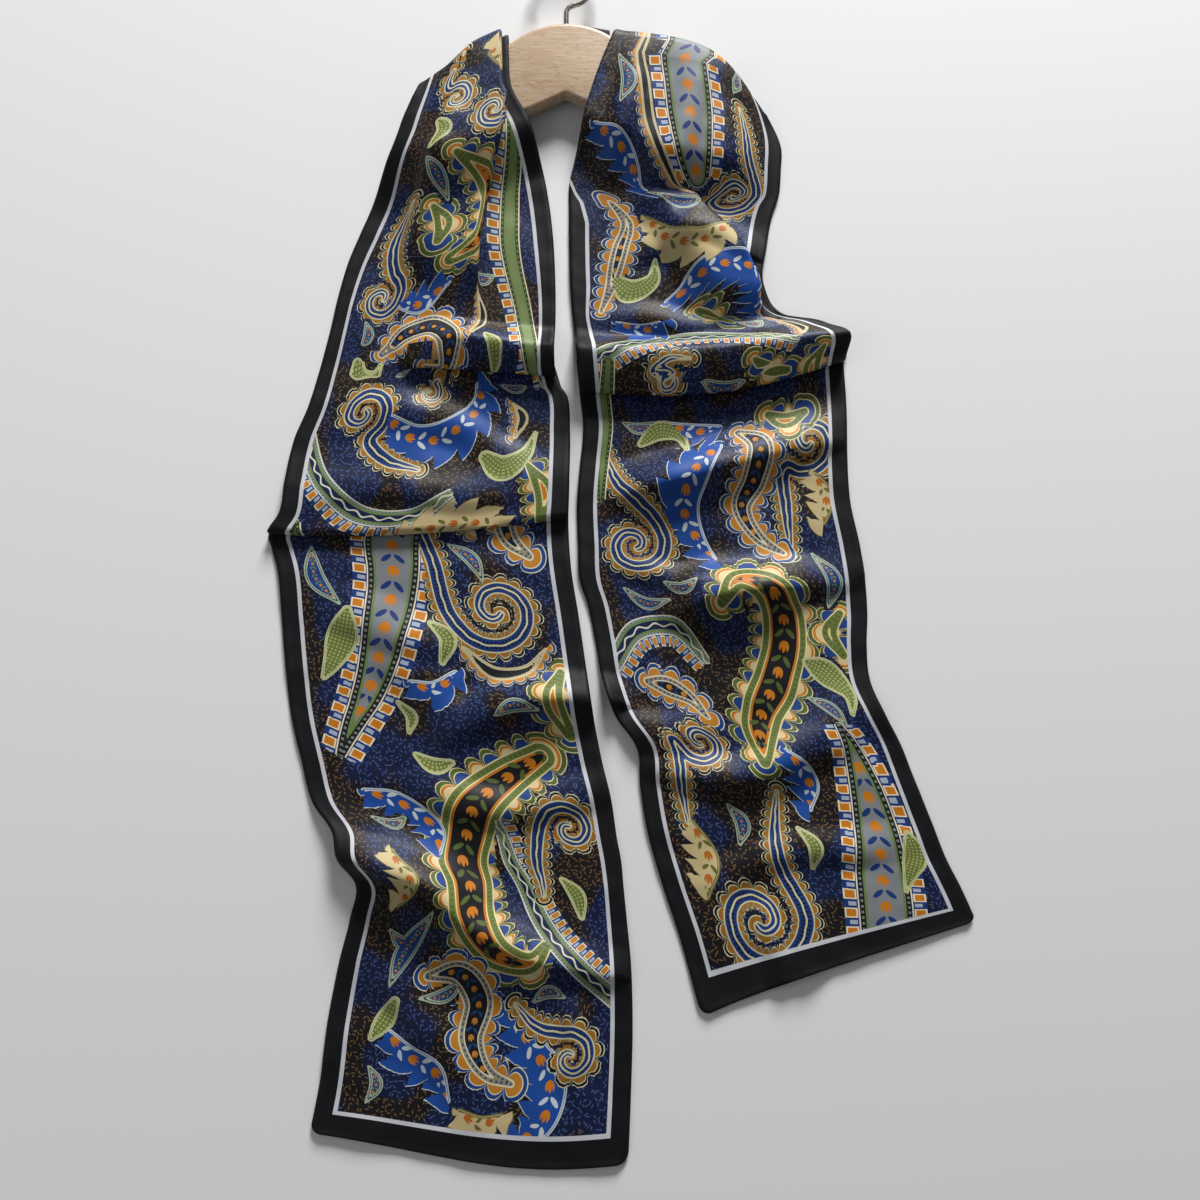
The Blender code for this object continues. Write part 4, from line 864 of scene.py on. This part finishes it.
def paint_layer(node, layer, ground):
    """Nodes that print one layer of motifs over a ground colour."""
    core, band, line, tooth, mark = [node(f"Attribute {layer}_{part}") for part in PAINTS]
    place, sizes, kinds, extras = [
        node("SeparateXYZ", node(f"Attribute {layer}_{name}").outputs["Vector"]).outputs
        for name in ("place", "sizes", "kinds", "extras")]
    beyond, run, off = place
    band_width, fringe, pitch = sizes
    lean, pegs, inner = kinds
    side, dash, bloom_size = extras
    nest = node(f"Attribute {layer}_nest").outputs["Fac"]
    petalled = node("GREATER_THAN", nest, 1.5)

    # The fringe: teeth that are round, square or leaning flames, with a fine line round each
    tooth_turn = node("DIVIDE", run, pitch)
    step = node("FRACT", tooth_turn)
    across_tooth = node("MULTIPLY_ADD", step, 2, -1)
    bow = node("SQRT", node("SUBTRACT", 1, node("MULTIPLY", across_tooth, across_tooth)))
    flame = node("POWER", node("SUBTRACT", 1, step), 0.7)
    form = node("MAXIMUM", node("Mix FLOAT", lean, bow, flame), pegs)
    right_side = node("SUBTRACT", 1, node("LESS_THAN", node("MULTIPLY", side, off), -0.01))
    fringe_here = node("MULTIPLY", fringe, right_side)
    within = node("SUBTRACT", node("MULTIPLY", form, fringe_here), beyond)
    has_fringe = node("GREATER_THAN", fringe_here, 0.5)
    rim = node("GREATER_THAN", within, node("MULTIPLY", pegs, TOOTH_LINE))
    rim = node("MULTIPLY", rim, has_fringe)
    fill = node("MULTIPLY", node("GREATER_THAN", within, TOOTH_LINE), has_fringe)

    # In the teeth: a peg with a short pale bar on either side, or a smaller tooth with its heart
    level = node("DIVIDE", beyond, fringe)
    off_tooth = node("ABSOLUTE", across_tooth)
    peg_off = node("MAXIMUM", node("MULTIPLY", node("ABSOLUTE", node("SUBTRACT", level, 0.48)), 2),
                   node("MULTIPLY", off_tooth, 1.6))
    peg_rim = node("MULTIPLY", node("LESS_THAN", peg_off, 0.86), pegs, fill)
    peg = node("MULTIPLY", node("LESS_THAN", peg_off, 0.64), peg_rim)
    bar = node("MULTIPLY", node("GREATER_THAN", off_tooth, 0.78), pegs, fill,
               node("COMPARE", level, 0.36, 0.26))
    nested = node("SUBTRACT", within, node("MULTIPLY", fringe, 0.36))
    nest_rim = node("MULTIPLY", node("GREATER_THAN", nested, 0), node("MINIMUM", nest, 1), fill)
    nest_fill = node("MULTIPLY", node("GREATER_THAN", nested, 0.6), nest_rim)
    every_other = node("LESS_THAN", node("FRACT", node("DIVIDE", tooth_turn, 2)), 0.5)
    petal = node("MULTIPLY", petalled, every_other, nest_fill)
    heart = node("GREATER_THAN", within, node("MULTIPLY", fringe, 0.62))
    heart = node("MULTIPLY", heart, node("SUBTRACT", nest_fill, petal), petalled)

    # The body: from its edge inwards a fine line, the dashed band, a line and the core
    depth = node("MULTIPLY", beyond, -1)
    open_side = node("MULTIPLY", lean, right_side)
    in_band = node("GREATER_THAN", depth, node("MULTIPLY_ADD", open_side, -FINE_LINE, FINE_LINE))
    dashes = node("GREATER_THAN", node("FRACT", node("DIVIDE", run, dash)), 0.55)
    mid_band = node("DIVIDE", node("SUBTRACT", depth, FINE_LINE), band_width)
    dashes = node("MULTIPLY", dashes, node("COMPARE", mid_band, 0.5, 0.22), in_band)
    past_band = node("ADD", band_width, FINE_LINE)
    in_line = node("GREATER_THAN", depth, node("MULTIPLY_ADD", open_side, 90, past_band))
    line_width = node("MULTIPLY_ADD", pegs, 0.8, 0.6)
    past_line = node("GREATER_THAN", depth, node("ADD", past_band, line_width))
    # Within the line of a large petalled motif runs a bright ring
    ring = node("MULTIPLY", past_line, petalled)
    ring_width = node("MULTIPLY", ring, 1.3)
    in_core = node("GREATER_THAN", depth, node("ADD", past_band, line_width, ring_width))

    # Tulips along the core, an oval cup whose open end is cut into three points, and leaves between
    spacing = node("MULTIPLY", bloom_size, 4.4)
    turns = node("DIVIDE", run, spacing)
    bloom_at, leaf_at = [
        node("MULTIPLY", node("SUBTRACT", node("FRACT", node("ADD", turns, shift)), 0.5), spacing)
        for shift in (0, 0.5)]
    cup_at = node("DIVIDE", bloom_at, bloom_size)
    cup_off = node("DIVIDE", off, bloom_size)
    cup = node("ADD", node("MULTIPLY", cup_at, cup_at), node("MULTIPLY", cup_off, 1.5, cup_off))
    points = node("ABSOLUTE", node("COSINE", node("MULTIPLY", cup_off, 4.4)))
    points = node("LESS_THAN", cup_at, node("MULTIPLY_ADD", points, 0.9, 0.05))
    flowers = node("MULTIPLY", past_line, node("COMPARE", inner, 1, 0.3))
    bloom = node("MULTIPLY", node("LESS_THAN", cup, 1), points, flowers)
    leaf_off = node("SUBTRACT", node("ABSOLUTE", off), node("MULTIPLY", bloom_size, 0.9))
    leaf_long = node("ADD", leaf_at, leaf_off)
    leaf_wide = node("SUBTRACT", leaf_at, leaf_off)
    leafy = node("ADD", node("MULTIPLY", leaf_long, leaf_long, 0.30),
                 node("MULTIPLY", leaf_wide, leaf_wide, 1.9))
    leafy = node("LESS_THAN", leafy, node("MULTIPLY", bloom_size, bloom_size, 0.55))
    leafy = node("MULTIPLY", leafy, flowers)

    # Or a waving line in the body, or rows of seeds in the core
    wave = node("SINE", node("DIVIDE", node("MULTIPLY", run, math.tau), node("MULTIPLY", pitch, 1.6)))
    wave = node("MULTIPLY", wave, node("MULTIPLY_ADD", pegs, 0.7, 0.2))
    waves = node("MULTIPLY", in_band, node("COMPARE", off, wave, 0.5), node("COMPARE", inner, 2, 0.3))
    seed, seed_row = [node("COMPARE", node("FRACT", node("DIVIDE", way, SEED_PITCH)), 0.5, 0.27)
                      for way in (run, node("ADD", off, 40))]
    seeds = node("MULTIPLY", seed, seed_row, node("COMPARE", inner, 3, 0.3), in_core)

    for paint, mask in (
            (line, rim), (tooth, fill), ("#a9b4c4", bar), (line, node("MAXIMUM", peg_rim, nest_rim)),
            (mark, node("MAXIMUM", peg, nest_fill)), ("#1d4282", petal), ("#dcc796", heart),
            (line, node("LESS_THAN", beyond, 0)), (band, in_band),
            (node("Mix RGBA", pegs, tooth, core), dashes), (node("Mix RGBA", pegs, line, "#70864c"), in_line),
            (mark, ring), (core, in_core), (node("Mix RGBA", lean, tooth, line), leafy), (mark, bloom),
            (tooth, seeds), (line, waves)):
        ground = node("Mix RGBA", mask, ground, paint)
    return ground


def printed_satin():
    """Polyester satin, screen printed: a dense smooth face whose long floats give a soft sheen
    along the folds, near-black border and white line, and tiny sprigs on navy and brown grounds."""
    material, node, shader = start_material("printed_satin")
    strip = node("Attribute strip_mm").outputs["Vector"]
    across, along, _ = node("SeparateXYZ", strip).outputs
    flat = node("CombineXYZ", across, along, 0)
    # Brown areas among the navy, some 60 mm across
    brown = node("TexNoise", Vector=strip, Scale=1 / 42, Detail=1)
    brown = node("MapRange SMOOTHSTEP", brown, 0.46, 0.56)
    # Sprigs: short slanted leaves, drawn coarser than real ones, 2.5 mm apart, so that they show
    cells = node("TexVoronoi 2D", Vector=flat, Scale=1 / SPRIG_PITCH)
    away = node("VectorMath SUBTRACT", flat, cells.outputs["Position"])
    turn, chance, _ = node("SeparateColor", cells.outputs["Color"]).outputs
    slanted = node("VectorRotate Z_AXIS", Vector=away, Angle=node("MULTIPLY", turn, math.tau))
    leaf_x, leaf_y, _ = node("SeparateXYZ", slanted).outputs
    sprig = node("ADD", node("MULTIPLY", leaf_x, leaf_x, 0.9), node("MULTIPLY", leaf_y, leaf_y, 14))
    sprig = node("MULTIPLY", node("LESS_THAN", sprig, 1.05), node("GREATER_THAN", chance, 0.12), 0.85)
    ground = node("Mix RGBA", brown, "#111b3c", "#161316")
    ground = node("Mix RGBA", sprig, ground, node("Mix RGBA", brown, "#4a629e", "#85643a"))
    field = paint_layer(node, "small", paint_layer(node, "large", ground))
    to_side = node("MINIMUM", across, node("SUBTRACT", CLOTH_WIDTH, across))
    to_hem = node("SUBTRACT", node("Attribute strip_end").outputs["Fac"], along)
    to_border = node("MINIMUM", node("SUBTRACT", to_side, SIDE_BORDER), node("SUBTRACT", to_hem, HEM_BORDER))
    in_border = node("LESS_THAN", to_border, 0)
    field = node("Mix RGBA", node("LESS_THAN", to_border, WHITE_LINE), field, "#d0d1d6")
    # Satin floats, drawn 0.7 mm apart so that they show; the plain border is a little duller
    threads = node("Mapping", Vector=flat, Scale=(1 / 0.7, 1 / 3.5, 1))
    threads = node("TexNoise", Vector=threads, Scale=1, Detail=2)
    rough = node("MULTIPLY_ADD", in_border, 0.12, node("MapRange", threads, 0, 1, 0.42, 0.56))
    plug(shader, {"Base Color": node("Mix RGBA", in_border, field, "#0b0c0f"), "Roughness": rough,
                  "Normal": node("Bump", Strength=0.12, Distance=0.0002, Height=threads),
                  "Specular IOR Level": 0.24, "Sheen Weight": 0.02, "Sheen Roughness": 0.35})
    return material


LEFT_LARGE = {
    TAPER: [[(70, 322, 15), (66, 360, 15), (58, 405, 13), (44, 448, 9), (22, 488, 3)]],
    PICKLE: [[(128, 488, 8), (108, 500, 11), (84, 520, 13.5), (70, 550, 14), (72, 582, 12), (88, 604, 9),
         (106, 608, 6), (114, 598, 3.5)],
        [(44, 56, 3), (62, 66, 7), (76, 86, 10), (76, 108, 9), (64, 120, 5)]],
    GARLAND: [[(152, 630, 5), (134, 614, 5.4), (114, 590, 5.4), (100, 560, 5), (94, 524, 3)],
        [(8, 246, 4.6), (22, 276, 5.4), (46, 294, 5.4), (72, 296, 5), (94, 284, 3)]],
    CURL: [spiral(116, 404, 24, 1.3, 160, -1, 4.4, [(74, 330, 2), (84, 366, 4)]),
        spiral(36, 232, 17, 1.25, 60, -1, 4.2, [(74, 268, 2), (56, 262, 4)])],
    FLAME: [[(92, 630, 2), (106, 648, 6), (118, 668, 9), (114, 688, 6), (102, 696, 2)],
        [(52, 236, 3), (72, 250, 9), (92, 246, 10), (106, 226, 5), (106, 214, 2)]],
    STRIPE: [[(150, 36, 4), (138, 76, 5.5), (134, 120, 6), (140, 164, 6), (152, 214, 5)]],
    BLUE_PICKLE: [
        [(40, 190, 3), (54, 170, 7.5), (74, 164, 10), (88, 178, 8), (84, 192, 4.5), (72, 192, 3)]],
}
LEFT_SMALL = {
    CURL: [spiral(30, 146, 15, 1.2, -70, 1, 3.8, [(26, 84, 1.6), (24, 112, 3.4)]),
        spiral(134, 530, 15, 1.2, 200, 1, 3.8, [(112, 570, 1.6), (112, 550, 3.4)]),
        spiral(128, 656, 13, 1.1, 250, 1, 3.4, [(98, 630, 1.6), (110, 641, 3)]),
        spiral(58, 30, 11, 1.1, 30, 1, 3.2, [(92, 22, 1.6), (76, 34, 3)]),
        spiral(34, 18, 10, 1.1, 240, 1, 3, [(34, -14, 1.4), (26, 2, 2.6)]),
        spiral(74, 220, 8, 1, 300, 1, 2.6, [(96, 200, 1.2), (88, 208, 2.2)])],
    SEEDED: [[(36, 404, 3), (32, 418, 8.5), (26, 432, 5.5), (20, 442, 2)],
        [(112, 262, 4), (122, 270, 8), (134, 262, 4.5), (140, 248, 1.5)],
        [(34, 630, 3), (30, 640, 5.5), (24, 650, 2)],
        [(24, 196, 3), (28, 206, 6), (38, 204, 3), (42, 196, 1)],
        [(80, 412, 2), (88, 420, 5), (84, 434, 2)], [(112, 172, 2), (120, 180, 5), (118, 191, 2)],
        [(124, 560, 2), (132, 570, 5), (134, 582, 2)], [(26, 31, 2), (32, 40, 4.5), (28, 52, 2)],
        [(58, 457, 1.5), (64, 466, 3.6), (61, 475, 1.5)], [(62, 488, 2), (70, 494, 5), (80, 492, 2)]],
    LEAF: [[(48, 580, 1), (36, 600, 6), (30, 622, 1)], [(22, 366, 1), (20, 384, 5.5), (32, 400, 1)],
        [(70, 616, 0.8), (60, 626, 4), (46, 628, 0.6)], [(28, 60, 1), (36, 70, 4.5), (46, 84, 1)],
        [(122, 192, 1), (114, 206, 5), (100, 208, 1)], [(108, 466, 0.8), (118, 460, 4), (132, 462, 0.8)],
        [(128, -6, 1), (133, 6, 4.5), (127, 19, 1)], [(95, 365, 0.8), (106, 374, 4.5), (111, 388, 0.8)],
        [(119, 212, 0.8), (129, 217, 4), (139, 211, 0.8)], [(45, 212, 0.8), (53, 207, 4), (61, 200, 0.8)],
        [(103, 125, 0.8), (112, 130, 4), (121, 127, 0.8)],
        [(27, 523, 0.8), (36, 528, 3.6), (46, 523, 0.8)],
        [(107, 629, 0.8), (115, 624, 3.6), (124, 627, 0.8)],
        [(24, 665, 0.8), (29, 674, 3.6), (25, 685, 0.8)], [(24, 161, 0.8), (28, 172, 4), (24, 183, 0.8)],
        [(24, 590, 0.8), (34, 598, 4), (44, 594, 0.8)]],
    TENDRIL: [[(96, 426, 1.5), (112, 440, 4), (128, 438, 3), (140, 426, 1)],
        [(100, 136, 1), (108, 152, 3.5), (102, 170, 2)],
        [(126, 228, 1), (132, 238, 3.5), (128, 250, 1.5)], [(92, 350, 1), (102, 352, 3), (110, 361, 1)]],
    CREAM_FLAME: [[(126, 310, 3), (110, 303, 7.5), (88, 304, 7.5), (70, 312, 2.5)],
        [(92, 52, 2), (104, 70, 6.5), (104, 96, 5.5), (96, 116, 1.8)],
        [(96, -22, 3), (84, -8, 7), (66, 0, 8), (50, -8, 3)],
        [(32, 544, 2), (36, 560, 5.5), (26, 576, 2)], [(73, 683, 2), (84, 688, 4.5), (95, 683, 1.5)]],
    BLUE_PICKLE: [[(50, 616, 3), (66, 614, 7), (78, 628, 8), (76, 648, 6.5), (86, 664, 4), (98, 668, 2)],
        [(138, 330, 2.5), (126, 346, 6), (128, 364, 5), (138, 374, 2.5)]],
    FLAME: [[(32, 646, 2), (44, 658, 6), (58, 664, 5), (66, 678, 2)],
        [(70, 134, 2), (58, 148, 6), (44, 150, 2)], [(66, 446, 2), (78, 450, 5), (90, 440, 2)],
        [(112, 38, 1.5), (121, 48, 4.5), (119, 62, 1.5)],
        [(30, 508, 2), (46, 514, 6), (58, 528, 6), (58, 544, 2)]],
    PICKLE: [[(112, -16, 4), (104, 6, 6), (112, 26, 4)], [(146, 440, 3), (140, 456, 6), (146, 476, 4)],
        [(136, 268, 2), (146, 286, 6), (146, 306, 4)], [(100, 314, 2.5), (109, 323, 6), (106, 338, 3)],
        [(40, 90, 2.5), (48, 98, 5.5), (50, 111, 3)]],
    STRIPE: [[(12, 300, 3), (22, 322, 4.5), (24, 352, 3)]],
}


def make_end(side, fall, rows, folds, prints, left_edge=None):
    """Both printed shells of one end: down to its last fold's lip, and from inside that fold on."""
    grid, widths = cloth_grid(fall, rows, folds, left_edge)
    lengths = strip_length(grid, -WRAP)
    upper = shell(side + "_end_upper", grid, widths, lengths, False)
    grid, widths = cloth_grid(fall, emerging_rows(fall, folds[-1]), [])
    lengths = strip_length(grid, lengths[-1])
    lower = shell(side + "_end_lower", grid, widths, lengths, True)
    for piece, strip in (upper, lower):
        for layer, motifs in zip(("large", "small"), prints):
            print_motifs(piece, strip, layer, motifs)
        store(piece, "strip_end", "FLOAT", "POINT", np.full(len(strip), lengths[-1]))
        piece.data.materials.append(bpy.data.materials.get("printed_satin") or printed_satin())
    return upper[0], lower[0]


left = Fall(LEFT_SECTIONS, LEFT_PLEAT)
soft_lip = left.station(LEFT_SOFT_FOLD.lip)
rows = (plain_rows(WRAP / 2, soft_lip - 14.0) + fold_rows(LEFT_SOFT_FOLD, True)
        + plain_rows(soft_lip + 8.0, left.station(LEFT_TUCK.lip) - 4.0) + fold_rows(LEFT_TUCK, False))
left_upper, left_lower = make_end("left", left, rows, [LEFT_SOFT_FOLD, LEFT_TUCK], (LEFT_LARGE, LEFT_SMALL))
finish_piece(left_upper, "left_end_upper", "left_fall_upper")
finish_piece(left_lower, "left_end_lower", "left_fall_lower")

# Scarf, right end.
# The other end of the same strip, printed the other way up because the strip is one length. Its
# left side is turned under at the shoulder, and a full roll lies across it above the lower part.

# How much of it is turned under, at distances below the shoulder fold
RIGHT_LEFT_EDGE = ([0, 20, 38, 56, 68, 78, 88, 100], [52, 44, 34, 24, 17, 9, 3, 0])

RIGHT_LARGE = {
    TAPER: [[(94, -30, 16), (97, 2, 15), (98, 34, 14.5), (100, 60, 11), (101, 66, 9)],
        [(128, 482, 3), (130, 516, 9), (126, 552, 13), (116, 590, 15), (108, 620, 15)]],
    FLAME: [[(62, 152, 3), (80, 136, 9), (104, 134, 11), (124, 152, 7), (130, 166, 2)],
        [(82, 312, 3), (70, 326, 9), (62, 348, 9.5), (68, 368, 5), (76, 380, 2)]],
    GARLAND: [[(10, 214, 5), (36, 198, 5.6), (68, 190, 5.6), (100, 194, 5), (128, 206, 3)],
        [(8, 446, 5), (26, 426, 5.6), (48, 424, 5.2), (64, 442, 3)]],
    PICKLE: [[(76, 410, 3.5), (88, 396, 7), (106, 402, 11), (112, 426, 13), (104, 452, 13), (88, 472, 11),
         (76, 492, 8), (74, 504, 4)]],
    CURL: [spiral(32, 372, 19, 1.25, -40, 1, 4.4, [(14, 308, 1.6), (24, 334, 3.6)]),
        spiral(46, 586, 24, 1.3, 20, 1, 4.6, [(78, 520, 1.6), (68, 554, 4)]),
        spiral(136, 312, 18, 1.2, 130, -1, 4.2, [(120, 376, 1.6), (122, 350, 3.6)])],
}
RIGHT_SMALL = {
    TENDRIL: [[(66, -20, 2), (70, 8, 3.4), (72, 40, 3.6), (82, 66, 3), (94, 84, 1.5)],
        [(132, 170, 1.5), (140, 184, 3.6), (134, 200, 2)]],
    CURL: [spiral(130, 76, 15, 1.2, 50, 1, 3.8, [(132, 14, 1.6), (136, 44, 3.4)]),
        spiral(40, 490, 15, 1.2, 180, -1, 3.8, [(24, 536, 1.6), (24, 512, 3.4)]),
        spiral(50, 226, 9, 1.05, 230, 1, 2.8, [(66, 212, 1.2), (52, 212, 2.4)])],
    CREAM_FLAME: [[(46, 96, 2), (58, 112, 7), (78, 116, 8), (96, 104, 3)],
        [(26, 536, 2), (30, 554, 6), (22, 572, 2)], [(118, 100, 2), (128, 110, 5), (129, 125, 2)],
        [(140, 330, 2), (146, 344, 5), (142, 358, 2)]],
    SEEDED: [[(26, 138, 4), (36, 146, 8), (48, 138, 4.5), (50, 124, 1.5)],
        [(36, 304, 3), (46, 296, 7), (58, 300, 4), (64, 312, 1.5)],
        [(124, 442, 3), (134, 448, 8), (144, 462, 4), (140, 474, 1.5)],
        [(144, 546, 2), (144, 560, 7), (136, 574, 4), (130, 584, 1.5)],
        [(84, 541, 1.5), (90, 551, 4.5), (85, 563, 1.5)]],
    FLAME: [[(30, 172, 2), (44, 180, 6), (58, 174, 2)], [(88, 498, 2), (98, 514, 6), (94, 530, 2)],
        [(36, 38, 2), (47, 47, 7), (57, 62, 5), (58, 76, 2)], [(52, 292, 2), (66, 298, 6), (82, 296, 2)]],
    BLUE_PICKLE: [
        [(94, 302, 3), (106, 312, 7.5), (104, 332, 8), (96, 350, 6), (104, 368, 4), (116, 376, 2)],
        [(20, 160, 2), (30, 116, 5), (34, 100, 4), (28, 84, 2)],
        [(27, 454, 2.5), (38, 457, 6), (50, 465, 4), (54, 475, 2)]],
    LEAF: [[(132, 376, 1), (142, 392, 5), (138, 408, 1)], [(70, 224, 1), (84, 232, 5), (98, 228, 1)],
        [(24, 400, 1), (34, 410, 4.5), (48, 408, 1)], [(56, -3, 1), (61, 11, 5), (54, 26, 1)],
        [(57, 79, 1), (68, 87, 5.5), (81, 83, 1)], [(119, 463, 0.8), (129, 470, 4.5), (133, 482, 0.8)],
        [(48, 527, 0.8), (54, 537, 4.5), (49, 549, 0.8)],
        [(63, 240, 0.8), (73, 247, 4.5), (83, 243, 0.8)], [(129, -19, 0.8), (134, -8, 4), (129, 5, 0.8)],
        [(47, 396, 0.8), (56, 401, 4), (65, 395, 0.8)],
        [(105, 176, 0.8), (115, 181, 3.6), (125, 175, 0.8)],
        [(24, 290, 0.8), (34, 294, 4), (44, 290, 0.8)]],
    PICKLE: [[(144, 214, 2), (138, 232, 6), (144, 246, 4)], [(144, 412, 3), (138, 424, 5), (146, 438, 3)],
        [(85, 159, 2.5), (95, 166, 5.5), (104, 176, 3)], [(103, 216, 2.5), (112, 224, 5), (123, 228, 3)],
        [(112, 292, 3), (122, 298, 6), (134, 294, 3)]],
    STRIPE: [[(18, 214, 4), (14, 250, 5), (13, 296, 5), (14, 344, 3)]],
}

right = Fall(RIGHT_SECTIONS, RIGHT_PLEAT)
rows = (plain_rows(14.0, right.station(RIGHT_ROLL.lip) - 2 * RIGHT_ROLL.round)
        + fold_rows(RIGHT_ROLL, False))
right_upper, right_lower = make_end("right", right, rows, [RIGHT_ROLL], (RIGHT_LARGE, RIGHT_SMALL),
                                    RIGHT_LEFT_EDGE)
finish_piece(right_upper, "right_end_upper", "right_fall_upper")
finish_piece(right_lower, "right_end_lower", "right_fall_lower")

# Scarf, the stretch behind the neck.
# The middle of the same strip, folded in three along its length. It passes beneath the hanger and
# turns up round both arms, and only its upper edge peeps out above the wood.
BAND_THICKNESS = 4.4
BAND_LAYERS = 3
BAND_LAYER_STEP = (0.0, 1.6, 0.6)
# Its upper and its lower edge at three places between the shoulders, and its corner at the right
BAND_MIDDLE = [(-14, -2.5, -14, -40), (0, -1.5, 0, -41), (12, 3.5, 13, -43)]
BAND_CORNER = (26.0, 1.6)
BAND_SHARES = np.concatenate([[0.0, 0.07, 0.14], np.linspace(0.22, 1.0, 14)])
BAND_STATIONS = 61


def band_section(line):
    """Closed outline across the folded band, and how far each point is from its upper edge."""
    run = run_along(line)
    layer = BAND_THICKNESS / BAND_LAYERS
    flat = max(BAND_LAYER_STEP) + layer / 2
    side = [(flat, BAND_THICKNESS)]
    for order, step in enumerate(BAND_LAYER_STEP):
        for angle in np.radians(np.arange(75, -76, -25)):
            side.append((step + layer / 2 * (1 - math.cos(angle)),
                         BAND_THICKNESS - layer * (order + 0.5 - 0.5 * math.sin(angle))))
    side.append((flat, 0.0))
    beneath = [(max(place, flat + 0.6 * order), 0.0) for order, place in enumerate(run[1:-1], 1)]
    opposite = [(run[-1] - inset, height) for inset, height in reversed(side)]
    above = [(inset, BAND_THICKNESS) for inset, height in reversed(beneath)]
    outline = side + beneath + opposite + above
    return [(np.interp(inset, run, line[:, 0]), np.interp(inset, run, line[:, 1]), height + 0.03)
            for inset, height in outline], [inset for inset, height in outline]


def wrap_end(fall, across):
    """Where the cloth ends beneath the arm, a little further in."""
    columns, layer = fall.pleat_section(0.0)
    stack = float(np.max(layer))
    line, down, core = shoulder_base(fall, columns, stack)
    line = line + down * (core + stack)
    order = np.argsort(columns)
    shares = np.linspace(0.0, 1.0, 41)
    line = np.array([np.interp(shares, columns[order], axis[order]) for axis in line])
    heading = np.gradient(line, axis=1)
    inward = np.array([heading[1], -heading[0]]) / np.hypot(*heading)
    line = line + inward * 0.6
    return np.stack([np.interp(across, shares, axis) for axis in line], axis=-1)


share = BAND_SHARES
guides = [wrap_end(left, 1.0 - share)]
for upper_x, upper_y, lower_x, lower_y in BAND_MIDDLE:
    guides.append(np.stack([upper_x + (lower_x - upper_x) * share,
                            upper_y + (lower_y - upper_y) * share], axis=-1))
guides.append(wrap_end(right, np.maximum((share - share[1]) / (1 - share[1]), 0.0)))
guides[-1][0] = BAND_CORNER
guides = np.array(guides)
along = np.linspace(0.0, len(guides) - 1.0, BAND_STATIONS)
lines = [[curve_through(np.arange(len(guides)), guides[:, column, axis], along) for axis in (0, 1)]
         for column in range(len(share))]
sections = [band_section(line) for line in np.transpose(lines, (2, 0, 1))]
count = len(sections[0][0])
points = [on_lay(*place) for ring, _ in sections for place in ring]
faces = [(s * count + i, s * count + (i + 1) % count, (s + 1) * count + (i + 1) % count, (s + 1) * count + i)
         for s in range(len(sections) - 1) for i in range(count)]
faces += [tuple(reversed(range(count))), tuple(range(len(points) - count, len(points)))]
neck = make_piece("neck_band", points, faces)
strip = [(inset, 2.5 * order, 0.0) for order, (_, insets) in enumerate(sections) for inset in insets]
store(neck, "strip_mm", "FLOAT_VECTOR", "POINT", strip)
store(neck, "strip_end", "FLOAT", "POINT", np.full(len(points), 900.0))
neck.data.materials.append(bpy.data.materials["printed_satin"])
finish_piece(neck, "neck_band", "neck_stretch")

# Surface, light and camera.
# The scarf lies on a plain pale table. Daylight comes softly from beyond the hanger, and the
# camera looks down from the hem end, a little off upright.
CAMERA_PLACE = (20.265, -538.627, 807.0)
CAMERA_TILT = math.atan(0.2333)
# Each light's name, its place and size in metres, and its power in watts
LIGHTS = [("window light", (0.45, 2.5, 1.05), 0.9, 110.0), ("side fill", (-1.1, -0.3, 0.9), 0.8, 1.6)]

bpy.ops.mesh.primitive_plane_add(size=6.0, location=(0.0, 0.0, -0.0002))
table = bpy.context.object
table.name = "pale_table"
bpy.ops.object.transform_apply(location=True, rotation=True, scale=True)
table_paint, _, table_shader = start_material("matt_white_paint")
plug(table_shader, {"Base Color": "#f4f4f4", "Roughness": 0.7})
table.data.materials.append(table_paint)

world = bpy.data.worlds.new("studio")
bpy.context.scene.world = world
world.use_nodes = True
plug(world.node_tree.nodes["Background"], {"Color": (0.93, 0.96, 1.0, 1.0), "Strength": 0.15})

for name, place, size, power in LIGHTS:
    lamp = bpy.data.lights.new(name, "AREA")
    lamp.size = size
    lamp.energy = power
    item = bpy.data.objects.new(name, lamp)
    item.location = place
    item.rotation_euler = (-Vector(place)).to_track_quat("-Z", "Y").to_euler()
    bpy.context.collection.objects.link(item)

bpy.context.scene.view_settings.view_transform = "Standard"

camera_data = bpy.data.cameras.new("camera")
camera_data.lens = 45.0
camera_data.sensor_width = 36.0
camera = bpy.data.objects.new("camera", camera_data)
camera.location = on_lay(*CAMERA_PLACE)
camera.rotation_euler = (CAMERA_TILT, 0.0, 0.0)
bpy.context.collection.objects.link(camera)
bpy.context.scene.camera = camera
